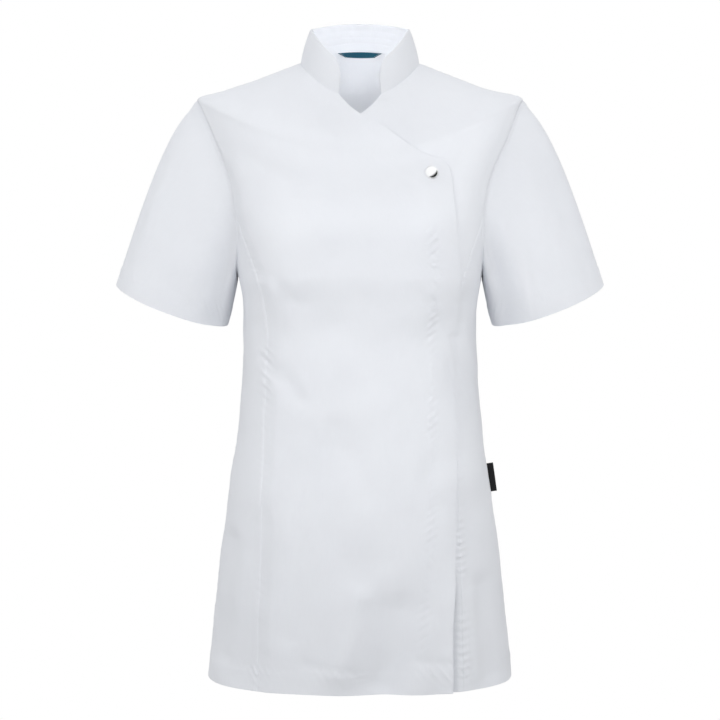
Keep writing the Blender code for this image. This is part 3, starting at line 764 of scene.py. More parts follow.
class Nodes:
    """A short way to write a material's, a world's or a geometry tree's nodes."""

    def __init__(self, tree: bpy.types.NodeTree) -> None:
        """Keep the tree."""
        self.tree = tree

    def give(self, node: bpy.types.Node, links: Links) -> None:
        """Set a node's inputs, each to an output socket or a value."""
        for key, value in links.items():
            if isinstance(value, Socket):
                self.tree.links.new(value, node.inputs[key])
            else:
                node.inputs[key].default_value = value

    def add(self, kind: str, links: Links, **options: object) -> bpy.types.Node:
        """Add a node.

        Args:
            kind: The node's type.
            links: Its inputs, each an output socket or a value.
            **options: Its settings.

        Returns:
            The node.
        """
        node = self.tree.nodes.new(kind)
        for option, value in options.items():
            setattr(node, option, value)
        self.give(node, links)
        return node

    def first(self, kind: str, links: Links, **options: object) -> Socket:
        """Add a node and give its first output."""
        return self.add(kind, links, **options).outputs[0]

    def math(self, operation: str, *values: object) -> Socket:
        """Add a math node and give its output."""
        return self.first("ShaderNodeMath", dict(enumerate(values)), operation=operation)

    def wave(self, value: Socket, pitch: float) -> Socket:
        """Give a sine of a length, with the given pitch."""
        return self.math("SINE", self.math("MULTIPLY", value, FULL_TURN / pitch))

    def noise(self, place: Socket, scale: float, detail: float) -> Socket:
        """Give smooth noise over a place."""
        links = {"Vector": place, "Scale": scale, "Detail": detail}
        return self.first("ShaderNodeTexNoise", links)

    def span(self, value: Socket, low: float, high: float, first: float, last: float) -> Socket:
        """Turn the values from low to high into those from first to last."""
        links = {"Value": value, "From Min": low, "From Max": high, "To Min": first, "To Max": last}
        return self.first("ShaderNodeMapRange", links)

    def tones(self, factor: Socket, shade: Colour, colour: Colour) -> Socket:
        """Mix two tones."""
        links = {"Factor": factor, 6: (*shade, 1.0), 7: (*colour, 1.0)}
        return self.add("ShaderNodeMix", links, data_type="RGBA").outputs[2]

    def bump(self, height: Socket, distance: float, strength: float, **links: Socket) -> Socket:
        """Give normals that follow a height."""
        links = {"Height": height, "Distance": distance, "Strength": strength, **links}
        return self.first("ShaderNodeBump", links)

    def either(self, choice: Socket, no: Socket, yes: Socket) -> Socket:
        """Choose between two shaders."""
        return self.first("ShaderNodeMixShader", {0: choice, 1: no, 2: yes})

    def object_place(self) -> Socket:
        """Give the place on the object."""
        return self.add("ShaderNodeTexCoord", {}).outputs["Object"]


def new_material(name: str) -> tuple[bpy.types.Material, Nodes, bpy.types.Node]:
    """Start a material, and give it, its nodes and its shader."""
    material = bpy.data.materials.new(name)
    material.use_nodes = True
    return material, Nodes(material.node_tree), material.node_tree.nodes["Principled BSDF"]


@dataclass(frozen=True)
class WovenFinish:
    """Woven cloth: twill ribs, yarns, faint crumple and a faint change of colour."""

    name: str
    colour: Colour
    shade: Colour  # the darker of its two tones
    roughness: float
    sheen: float
    rib: float  # metres from one rib to the next
    rib_height: float
    crumple_height: float
    slub_scale: tuple[float, float, float] = (900.0, 60.0, 1.0)
    cloud_scale: float = 11.0
    crumple_scale: float = 48.0

    def material(self) -> bpy.types.Material:
        """Build the material, which reads the cloth's flat places."""
        material, nodes, shader = new_material(self.name)
        flat = nodes.add("ShaderNodeUVMap", {}, uv_map=WEAVE_MAP).outputs["UV"]
        place = nodes.object_place()
        across, up, _ = nodes.add("ShaderNodeSeparateXYZ", {"Vector": flat}).outputs
        ribs = nodes.wave(nodes.math("ADD", across, up), self.rib)
        yarns = nodes.wave(nodes.math("SUBTRACT", across, up), self.rib / 2)
        weave = nodes.math("ADD", ribs, nodes.math("MULTIPLY", yarns, 0.5))
        long = nodes.first("ShaderNodeMapping", {"Vector": flat, "Scale": self.slub_scale})
        slub = nodes.noise(long, 1.0, 2.0)
        cloud = nodes.noise(place, self.cloud_scale, 3.0)
        tone = nodes.math("ADD", cloud, nodes.math("MULTIPLY", slub, 0.5))
        tone = nodes.math("ADD", tone, nodes.math("MULTIPLY", weave, 0.10))
        tone = nodes.span(tone, 0.4, 1.1, 0.0, 1.0)
        crumple = nodes.noise(place, self.crumple_scale, 4.0)
        soft = nodes.bump(crumple, self.crumple_height, 1.0)
        rough = nodes.math("ADD", nodes.math("MULTIPLY", slub, 0.12), self.roughness)
        looks = {
            "Base Color": nodes.tones(tone, self.shade, self.colour),
            "Normal": nodes.bump(weave, self.rib_height, 1.0, Normal=soft),
            "Roughness": rough,
            "Sheen Weight": self.sheen,
            "Sheen Roughness": 0.45,
            "Specular IOR Level": 0.25,
        }
        nodes.give(shader, looks)
        return material


@dataclass(frozen=True)
class ThreadFinish:
    """Sewing thread with a slight change of tone from stitch to stitch."""

    name: str
    colour: Colour
    shade: Colour
    tone_scale: float = 400.0
    twist_scale: float = 5000.0

    def material(self) -> bpy.types.Material:
        """Build the material."""
        material, nodes, shader = new_material(self.name)
        place = nodes.object_place()
        tone = nodes.noise(place, self.tone_scale, 1.0)
        twist = nodes.noise(place, self.twist_scale, 1.0)
        looks = {
            "Base Color": nodes.tones(tone, self.shade, self.colour),
            "Normal": nodes.bump(twist, 0.05 * MM, 0.6),
            "Roughness": 0.55,
            "Sheen Weight": 0.2,
        }
        nodes.give(shader, looks)
        return material


@dataclass(frozen=True)
class PlatedFinish:
    """Bright plated metal with faint polishing marks."""

    name: str
    colour: Colour
    roughness: float
    marks_scale: float = 4000.0
    worn_scale: float = 240.0

    def material(self) -> bpy.types.Material:
        """Build the material."""
        material, nodes, shader = new_material(self.name)
        place = nodes.object_place()
        marks = nodes.noise(place, self.marks_scale, 3.0)
        worn = nodes.noise(place, self.worn_scale, 3.0)
        looks = {
            "Base Color": (*self.colour, 1.0),
            "Metallic": 1.0,
            "Normal": nodes.bump(marks, 0.001 * MM, 0.5),
            "Roughness": nodes.span(worn, 0.35, 0.75, self.roughness, self.roughness + 0.14),
        }
        nodes.give(shader, looks)
        return material


class Stitch(NamedTuple):
    """Sizes of a row of stitches, in metres."""

    pitch: float
    length: float
    radius: float


class Stitching:
    """Rows of stitches, made by one tree of geometry nodes."""

    sockets = {
        "Geometry": "Geometry",
        "Pitch": "Float",
        "Length": "Float",
        "Radius": "Float",
        "Seed": "Int",
        "Thread": "Material",
    }

    def __init__(self, finish: ThreadFinish) -> None:
        """Build the tree for a thread."""
        self.thread = finish.material()
        self.tree = bpy.data.node_groups.new("Stitches along a path", "GeometryNodeTree")
        face = self.tree.interface
        self.inputs = {
            name: face.new_socket(name, in_out="INPUT", socket_type="NodeSocket" + kind).identifier
            for name, kind in self.sockets.items()
        }
        face.new_socket("Geometry", in_out="OUTPUT", socket_type="NodeSocketGeometry")
        nodes = Nodes(self.tree)
        given = nodes.add("NodeGroupInput", {}).outputs
        spaced = {
            "Curve": nodes.first("GeometryNodeMeshToCurve", {0: given["Geometry"]}),
            "Length": given["Pitch"],
        }
        places = nodes.first("GeometryNodeResampleCurve", spaced, mode="LENGTH")
        tangent = nodes.first("GeometryNodeInputTangent", {})
        named = {"Name": OUT}
        out = nodes.first("GeometryNodeInputNamedAttribute", named, data_type="FLOAT_VECTOR")
        along = nodes.first("FunctionNodeAlignRotationToVector", {"Vector": tangent}, axis="X")
        turn = {"Rotation": along, "Vector": out}
        turned = nodes.first("FunctionNodeAlignRotationToVector", turn, axis="Z", pivot_axis="X")
        ball = nodes.first("GeometryNodeMeshUVSphere", {"Segments": 6, "Rings": 5, "Radius": 1.0})
        half = nodes.math("MULTIPLY", given["Length"], 0.5)
        radius = given["Radius"]
        size = nodes.first("ShaderNodeCombineXYZ", {0: half, 1: radius, 2: radius})
        stitch = nodes.first("GeometryNodeTransform", {"Geometry": ball, "Scale": size})
        sizes = {0: (0.9, 0.85, 0.85), 1: (1.04, 1.1, 1.1), "Seed": given["Seed"]}
        uneven = nodes.first("FunctionNodeRandomValue", sizes, data_type="FLOAT_VECTOR")
        row = {"Points": places, "Instance": stitch, "Rotation": turned, "Scale": uneven}
        real = nodes.first(
            "GeometryNodeRealizeInstances", {0: nodes.first("GeometryNodeInstanceOnPoints", row)}
        )
        shaded = nodes.first("GeometryNodeSetShadeSmooth", {"Geometry": real})
        dressed = {"Geometry": shaded, "Material": given["Thread"]}
        nodes.add("NodeGroupOutput", {0: nodes.first("GeometryNodeSetMaterial", dressed)})

    def sew(self, name: str, rows: Rows, stitch: Stitch) -> Piece:
        """Sew rows of stitches.

        Args:
            name: Name of the piece.
            rows: For each row, points on the cloth and the normals there.
            stitch: Its sizes.

        Returns:
            The stitches as one plain mesh.
        """
        points, normals, edges = [], [], []
        for path, out in rows:
            start = len(points)
            points += (path + out * stitch.radius * 0.35).tolist()
            normals += out.tolist()
            edges += [(start + i, start + i + 1) for i in range(len(path) - 1)]
        mesh = bpy.data.meshes.new(name + " path")
        mesh.from_pydata(points, edges, [])
        layer = mesh.attributes.new(OUT, "FLOAT_VECTOR", "POINT")
        layer.data.foreach_set("vector", np.array(normals).ravel())
        line = bpy.data.objects.new(name + " path", mesh)
        bpy.context.scene.collection.objects.link(line)
        modifier = line.modifiers.new("Stitches", "NODES")
        modifier.node_group = self.tree
        values = {"Pitch": stitch.pitch, "Length": stitch.length, "Radius": stitch.radius}
        values |= {"Seed": len(points), "Thread": self.thread}
        for key, value in values.items():
            modifier[self.inputs[key]] = value
        graph = bpy.context.evaluated_depsgraph_get()
        made = bpy.data.meshes.new_from_object(line.evaluated_get(graph))
        made.name = name
        bpy.data.objects.remove(line)
        return add_piece(name, made)


def add_piece(name: str, mesh: bpy.types.Mesh) -> Piece:
    """Put a mesh in the scene as a piece that rides on the tunic."""
    piece = bpy.data.objects.new(name, mesh)
    bpy.context.scene.collection.objects.link(piece)
    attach(piece, BODY)
    logging.info("%s: %d faces", name, len(mesh.polygons))
    return piece


def add_dressed(name: str, node: str, mesh: bpy.types.Mesh, material: bpy.types.Material) -> Piece:
    """Add a mesh of a material as the piece that stands for the frame's node."""
    mesh.materials.append(material)
    piece = add_piece(name, mesh)
    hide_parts(node)
    return piece


class Cut(NamedTuple):
    """The flat cut of what shows of a piece, in metres and square metres."""

    width: float
    length: float
    area: float


@dataclass
class Cloth:
    """A sheet of cloth that stands for one node of the frame."""

    trunk: Trunk
    node: str
    cut: Cut
    holder: str  # the piece that it hangs from
    kind: str = "cloth"
    sewing: str = ""  # name of its stitches, if it isn't the node's own
    stitch: Stitch = Stitch(3.0 * MM, 2.5 * MM, 0.22 * MM)
    outer: Array = field(init=False, repr=False)
    inner: Array = field(init=False, repr=False)
    normals: Array = field(init=False, repr=False)
    piece: Piece = field(init=False, repr=False)

    def build(self, material: bpy.types.Material) -> None:
        """Build and dress the piece in a material."""
        raise NotImplementedError

    def rows(self) -> Rows:
        """Give the paths of its rows of stitches and the normals along them."""
        return []

    def add(
        self,
        outer: Array,
        inner: Array,
        uv: Array,
        material: bpy.types.Material,
        closed: bool = False,
    ) -> None:
        """Add the shell between two grids as the piece.

        Args:
            outer: Points on the outer face.
            inner: Points on the inner face.
            uv: Places on the flat cloth.
            material: The cloth.
            closed: Whether the last column joins the first.
        """
        name = f"{self.node}_{self.kind}"
        mesh = shell_mesh(name, outer, inner, uv, closed)
        self.piece = add_dressed(name, self.node, mesh, material)

    def finish(self, stitching: Stitching) -> None:
        rows = self.rows()
        name = self.sewing or self.node + "_stitches"
        sewn_on = [stitching.sew(name, rows, self.stitch)] if rows else []
        area = sum(face.area for face in self.piece.data.polygons)
        told = "%s: both faces %.4f, flat %.4f square metres"
        logging.info(told, self.piece.name, area, self.cut.area)


@dataclass
class Panel(Cloth):
    """One panel of the trunk, between two seams or edges."""

    row_step: float = 2.2
    column_step: float = 3.4
    edge_step: float = 1.2
    edge_reach: float = 10.0
    armhole_part: tuple[float, float] = (-1.0, 1.0)  # that its edge follows, from foot to top
    run: Array = field(init=False, repr=False)

    def runs(self) -> Array:
        """Give the rows, closer together in the hem and at both ends of the armhole."""
        hem = np.concatenate(((0.0, 0.3, 0.7), np.arange(1.2, HEM_DEPTH + 4, 1.2)))
        body = np.linspace(hem[-1], UNDERARM_RUN, round((UNDERARM_RUN - hem[-1]) / self.row_step))
        height = SHOULDER_RUN - UNDERARM_RUN
        turn = np.linspace(0.0, HALF_TURN, round(1.3 * height / self.row_step))
        armhole = UNDERARM_RUN + height * (1 - np.cos(turn)) / 2
        top = np.linspace(SHOULDER_RUN, NECK_RUN, round((NECK_RUN - SHOULDER_RUN) / self.row_step))
        return np.concatenate((hem, body[1:], armhole[1:], top[1:]))

    def edges(self, run: Array) -> tuple[Array, Array]:
        """Give the angles of both edges at the rows."""
        raise NotImplementedError

    def allowances(self, run: Array) -> tuple[Array | None, Array | None]:
        """Give how much of the seam allowance each edge has at the rows, from 0 to 1."""
        raise NotImplementedError

    def relief(self, points: Array, run: Array) -> Array:
        """Give the height of seams, puckers and layers over the panel."""
        raise NotImplementedError

    def base_lift(self, share: Array, run: Array) -> Array:
        """Give how far the panel stands off the trunk."""
        return np.zeros(np.broadcast(share, run).shape)

    def scoops(self) -> tuple[float, float]:
        """Give how deep the armhole cuts into each edge, as an angle."""
        return 0.0, 0.0

    def edge_places(self, width: float) -> list[float]:
        """Give the places of the columns in from an edge, in millimetres."""
        reach = min(self.edge_reach, width / 2 - self.edge_step)
        return [0.0, 0.35, 0.8, 1.4, *np.arange(2.2, reach, self.edge_step).tolist()]

    def shares(self, width: float) -> Array:
        """Give the columns' shares of the width, closer together at both edges."""
        near = self.edge_places(width)
        far = [width - place for place in reversed(near)]
        count = max(2, round((far[0] - near[-1]) / self.column_step))
        middle = np.linspace(near[-1], far[0], count + 1)[1:-1].tolist()
        return np.array(near + middle + far) / width

    def spread(self, first: Array, last: Array, share: Array) -> Array:
        """Spread the columns so that only those beside an armhole follow its edge closely.

        Args:
            first: Angle of the first edge at each row.
            last: Angle of the last edge.
            share: Shares of the way across.

        Returns:
            Angles of rows by columns.
        """
        reach = (self.run - UNDERARM_RUN) / (SHOULDER_RUN - UNDERARM_RUN) * 2 - 1
        dome = np.clip(1 - np.clip(reach, *self.armhole_part) ** 2, 0.0, None)
        slack = (np.sqrt(dome) - dome * dome)[:, None]
        near = np.clip(1 - share / 0.45, 0.0, 1.0) ** 2
        far = np.clip(1 - (1 - share) / 0.45, 0.0, 1.0) ** 2
        scoops = self.scoops()
        begin = first[:, None] - scoops[0] * slack * (1 - near)
        end = last[:, None] + scoops[1] * slack * (1 - far)
        return begin + (end - begin) * share

    def wall(self, points: Array, run: Array) -> Array:
        """Give the thickness of the cloth."""
        wall = hem_wall(run, HEM_DEPTH - 0.8, HEM_DEPTH + 0.8)
        return np.broadcast_to(wall, points.shape[:2])

    def allowance(self, angle: Array, amount: Array | None, way: int) -> Array:
        """Lay out one edge's seam allowance, which lies under the neighbouring panel.

        Args:
            angle: Angle of the edge at each row.
            amount: How much of the allowance it has there, or none.
            way: 1 towards greater angles.

        Returns:
            Rows by columns of points, from the edge outwards.
        """
        run = self.run[:, None]
        steps = np.array(ALLOWANCE_STEPS if amount is not None else ())[None, :]
        steps = steps * (0 * run if amount is None else amount[:, None]) * way
        place = self.trunk.moved(angle[:, None] + 0 * steps, run + 0 * steps, steps)
        return self.trunk.cloth(place, run + 0 * steps, 0 * steps - ALLOWANCE_SINK)

    def build(self, material: bpy.types.Material) -> None:
        """Build and dress the panel."""
        self.run = self.runs()
        run = self.run[:, None]
        first, last = self.edges(self.run)
        middle = len(self.run) // 4
        line = self.trunk.point(np.linspace(first[middle], last[middle], 40), self.run[middle])
        width = np.linalg.norm(np.diff(line, axis=0), axis=1).sum() / MM
        share = self.shares(width)[None, :]
        angle = self.spread(first, last, share)
        base = self.trunk.cloth(angle, run + 0 * angle, self.base_lift(share, run))
        ropes = Puckers(0.5, 11.0, 9.0, 0.9, 1.3 + len(self.node))
        height = self.relief(base, run)
        height += hem_relief(run, HEM_LINE, flat_map(base, self.run * MM)[..., 0], ropes)
        wall = self.wall(base, run)
        height -= (CLOTH - np.minimum(wall, CLOTH)) / 2
        self.outer = base + grid_normals(base) * height[..., None]
        self.normals = grid_normals(self.outer)
        before, after = self.allowances(self.run)
        left = self.allowance(first, before, -1)[:, ::-1]
        right = self.allowance(last, after, 1)
        whole = np.concatenate((left, self.outer, right), axis=1)
        sewn_in = (left.shape[1], right.shape[1])
        walls = np.pad(wall, ((0, 0), sewn_in), constant_values=CLOTH * 0.6)
        inner = whole - grid_normals(whole) * walls[..., None]
        self.add(whole, inner, flat_map(whole, self.run * MM), material)

    def row_at(self, run: float) -> int:
        """Number of the row nearest to a run."""
        return int(np.abs(self.run - run).argmin())

    def rows(self) -> Rows:
        """Give the path of the hem's stitches and the normals along it."""
        row = self.row_at(HEM_LINE)
        return [(self.outer[row, 2:-2], self.normals[row, 2:-2])]

    def armhole_allowance(self, run: Array, scoop: float) -> Array:
        """Share of the full allowance along an armhole, less where the hole is narrow."""
        half = QUARTER_TURN - self.trunk.side_angle(run, scoop)
        return np.clip(half / 0.12, 0.08, 1.0)


@dataclass
class CentreFront(Panel):
    """What the two crossed centre fronts share: the seam side, the neck and the free edge."""

    armhole_part: tuple[float, float] = (0.0, 1.0)
    way: int = 1  # side of the wearer where the panel's seam lies

    def free_angle(self, run: Array) -> Array:
        """Angle of the free edge, on the other side from the seam."""
        return self.trunk.edge_angle(OVERLAP_EDGE, run)

    def edges(self, run: Array) -> tuple[Array, Array]:
        """Give the angles of the seam side and the free edge, the lower one first."""
        seam = self.trunk.moved(self.trunk.front_side_angle(run), run, -SEAM_HALF_GAP)
        free = self.free_angle(run)
        return (-free, seam) if self.way > 0 else (-seam, free)

    def allowances(self, run: Array) -> tuple[Array | None, Array | None]:
        """Give full allowances at the seam, less in the armhole and none at the free edge."""
        inside = (run > SEAM_TOP_RUN) & (run < SHOULDER_RUN)
        seam = np.where(inside, self.armhole_allowance(run, FRONT_SCOOP), 1.0)
        return (None, seam) if self.way > 0 else (seam, None)

    def scoops(self) -> tuple[float, float]:
        """Give how deep the armhole cuts into the seam side."""
        return (0.0, FRONT_SCOOP) if self.way > 0 else (FRONT_SCOOP, 0.0)

    def paths(self, points: Array) -> tuple[Array, Array]:
        """Give the paths of the seam and of the free edge."""
        first, last = points[::2, 0], points[::2, -1]
        return (last, first) if self.way > 0 else (first, last)

    def relief(self, points: Array, run: Array) -> Array:
        """Give the height of the seams, their puckers and the facing's ridge."""
        seam_path, free_path = self.paths(points)
        seam, along = near_path(points, seam_path)
        free, free_along = near_path(points, free_path)
        neck = near_path(points, points[-1, ::2])[0]
        height = points[..., 2] / MM
        armhole = window(run, SEAM_TOP_RUN + 20, SHOULDER_RUN - 6, 14.0)
        shoulder = smoothstep(run, SHOULDER_RUN, SHOULDER_RUN + 12)
        total = seam_dip(seam) + seam_dip(neck) + seam_ridge(neck, NECK_RIDGE)
        total += seam_ridge(seam, ARMHOLE_RIDGE) * armhole
        total += seam_ridge(seam, SHOULDER_RIDGE) * shoulder
        total -= LAYER_STEP * bell(seam, 9.5 * MM, 1.1 * MM) * shoulder
        total += SEAM_PUCKERS[self.node].relief(seam, along, height)
        return total + self.facing(free, free_along, height)

    def facing(self, free: Array, along: Array, height: Array) -> Array:
        """Give the ridge of the facing and the puckers along its row of stitches."""
        fall = smoothstep(free, FACING_WIDTH - 1.5 * MM, FACING_WIDTH + 1.5 * MM)
        ridge = FACING_RIDGE * (1 - fall)
        stitched = window(height, -650, -190, 20) * (1 + 0.7 * window(height, -300, -190, 20))
        apart = free - FACING_LINE
        small = sum(one.relief(apart, along) * stitched for one in FACING_PUCKERS)
        return ridge + small + FREE_EDGE_PUCKERS.relief(free, along)

    def wall(self, points: Array, run: Array) -> Array:
        """Give the thickness, double in the facing."""
        free = near_path(points, self.paths(points)[1])[0]
        layered = 1 + 0.5 * (1 - smoothstep(free, FACING_LINE, FACING_WIDTH + 2 * MM))
        return rounded_edge(super().wall(points, run) * layered, free)

    def edge_places(self, width: float) -> list[float]:
        """Give the places of the columns in from an edge, fine as far as the facing's stitches."""
        near = super().edge_places(width)
        return near + np.arange(near[-1] + 2.2, FACING_WIDTH / MM + 12, 2.2).tolist()

    def rows(self) -> Rows:
        """Add the path of the stitches that hold the facing, and the normals along it."""
        free = near_path(self.outer, self.paths(self.outer)[1])[0]
        points, normals = [], []
        half = free.shape[1] // 2
        for row in range(*map(self.row_at, FACING_ROW), 2):
            far = free[row] if self.way > 0 else free[row, ::-1]
            at = np.interp(FACING_LINE, far[:half], np.arange(half))
            at = at if self.way > 0 else len(far) - 1 - at
            low = int(at)
            share = at - low
            points.append(self.outer[row, low] * (1 - share) + self.outer[row, low + 1] * share)
            normals.append(self.normals[row, low])
        return [*super().rows(), (np.array(points), np.array(normals))]


@dataclass
class FrontOverlap(CentreFront):
    """The upper front, which crosses from the wearer's right to the left."""

    way: int = -1
    gape: float = 3.4 * MM

    def base_lift(self, share: Array, run: Array) -> Array:
        """Stand off the lower front, most at the foot of the free edge."""
        from_seam = smoothstep(share + 0 * run, 0.0, 0.10)
        from_collar = smoothstep((NECK_RUN - run) / CROSSING_RISE, 0.0, 1.0)
        gape = self.gape * smoothstep(share, 0.9, 1.0) * (1 - smoothstep(run, *GAPE_TOP))
        return OVERLAP_LIFT * from_seam * from_collar + gape


@dataclass
class FrontUnderlap(CentreFront):
    """The lower front, from its hidden edge to the wearer's left seam."""

    hollow: float = 3.6 * MM
    hollow_x: float = 105.5 * MM
    hollow_half_width: float = 4.5 * MM

    def free_angle(self, run: Array) -> Array:
        """Angle of the free edge, mirrored and cut short where it is hidden."""
        reach = self.trunk.angle_at(run, np.full(run.shape, UNDERLAP_REACH))
        return np.minimum(super().free_angle(run), reach)

    def relief(self, points: Array, run: Array) -> Array:
        """Add the hollow beside the foot of the upper front's edge."""
        beside = bell(points[..., 0], self.hollow_x, self.hollow_half_width)
        return super().relief(points, run) - self.hollow * beside * (1 - smoothstep(run, *GAPE_TOP))


@dataclass
class SideFront(Panel):
    """A side front, from the panel seam to the side seam."""

    armhole_part: tuple[float, float] = (-1.0, 0.0)
    side: Side = Side.LEFT

    def scoops(self) -> tuple[float, float]:
        """Give how deep the armhole cuts into the side seam's end."""
        return (0.0, FRONT_SCOOP) if self.side is Side.LEFT else (FRONT_SCOOP, 0.0)

    def runs(self) -> Array:
        """Give the rows up to where the panel runs out in the armhole."""
        rows = super().runs()
        return np.concatenate((rows[rows < SEAM_TOP_RUN - 0.5], [SEAM_TOP_RUN]))

    def edges(self, run: Array) -> tuple[Array, Array]:
        """Give the angles of the panel seam and the side seam, the lower one first."""
        seam = self.trunk.moved(self.trunk.panel_seam_angle(run), run, SEAM_HALF_GAP)
        outer = self.trunk.moved(self.trunk.side_angle(run, FRONT_SCOOP), run, -SEAM_HALF_GAP)
        return (seam, outer) if self.side is Side.LEFT else (-outer, -seam)

    def allowances(self, run: Array) -> tuple[Array | None, Array | None]:
        """Give full allowances at the side seam and less in the armhole."""
        outer = np.where(run > UNDERARM_RUN, self.armhole_allowance(run, FRONT_SCOOP), 1.0)
        return (None, outer) if self.side is Side.LEFT else (outer, None)

    def relief(self, points: Array, run: Array) -> Array:
        """Give the height of the seams and their puckers."""
        ends = [near_path(points, points[::2, at]) for at in (0, -1)]
        (first, along), (last, last_along) = ends[:: self.side.value]
        total = seam_dip(first) + seam_dip(last) + seam_ridge(first)
        total += SEAM_PUCKERS[self.node].relief(first, along, points[..., 2] / MM)
        return total + SIDE_SEAM_PUCKERS.relief(last, last_along)


@dataclass
class Back(Panel):
    """The back, from the wearer's left side seam round to the right one."""

    row_step: float = 3.0
    column_step: float = 4.2

    def edges(self, run: Array) -> tuple[Array, Array]:
        """Give the angles of both side seams."""
        left = HALF_TURN - self.trunk.side_angle(run, BACK_SCOOP)
        left = self.trunk.moved(left, run, SEAM_HALF_GAP)
        return left, FULL_TURN - left

    def scoops(self) -> tuple[float, float]:
        """Give how deep both armholes cut in."""
        return BACK_SCOOP, BACK_SCOOP

    def allowances(self, run: Array) -> tuple[Array | None, Array | None]:
        """Give allowances in the armholes only: the fronts have them elsewhere."""
        inside = (run > UNDERARM_RUN) & (run < SHOULDER_RUN)
        both = np.where(inside, self.armhole_allowance(run, BACK_SCOOP), 0.04)
        return both, both

    def relief(self, points: Array, run: Array) -> Array:
        """Give the height of the seams and their puckers."""
        total = seam_dip(near_path(points, points[-1, ::2])[0])
        for column, seed in ((0, 0.9), (-1, 3.3)):
            seam, along = near_path(points, points[::2, column])
            total += seam_dip(seam) + seam_ridge(seam, BACK_RIDGE)
            total += Puckers(0.2, 13.0, 8.0, 0.4, seed).relief(seam, along)
        return total


def eased(loops: Array, easing: Sequence[float], amount: Array | float = 1.0) -> Array:
    """Round off closed loops.

    Args:
        loops: Points or vectors, with the way round as the last axis but one.
        easing: Shares by which neighbours are drawn together.
        amount: How much of the rounding each loop gets.

    Returns:
        The rounded loops.
    """
    columns = loops.shape[-2]
    wave = np.arange(columns // 2 + 1)
    spread = 1 - np.cos(FULL_TURN * np.minimum(wave, EASING_COLUMNS / 2) / EASING_COLUMNS)
    kept = np.prod([1 - share * spread for share in easing], axis=0)
    waves = np.fft.rfft(loops, axis=-2) * (1 + (kept - 1) * amount)[..., :, None]
    return np.fft.irfft(waves, n=columns, axis=-2)


def hermite(t: Array, start: Array, leave: Array, end: Array, arrive: Array) -> Array:
    """Go from start to end as t goes from 0 to 1, with the given pulls at both.

    Args:
        t: Share of the way.
        start: The first value.
        leave: The pull there.
        end: The last value.
        arrive: The pull there.

    Returns:
        The value at each share.
    """
    return (
        start * (1 + 2 * t) * (1 - t) ** 2
        + leave * t * (1 - t) ** 2
        + end * t * t * (3 - 2 * t)
        + arrive * t * t * (t - 1)
    )


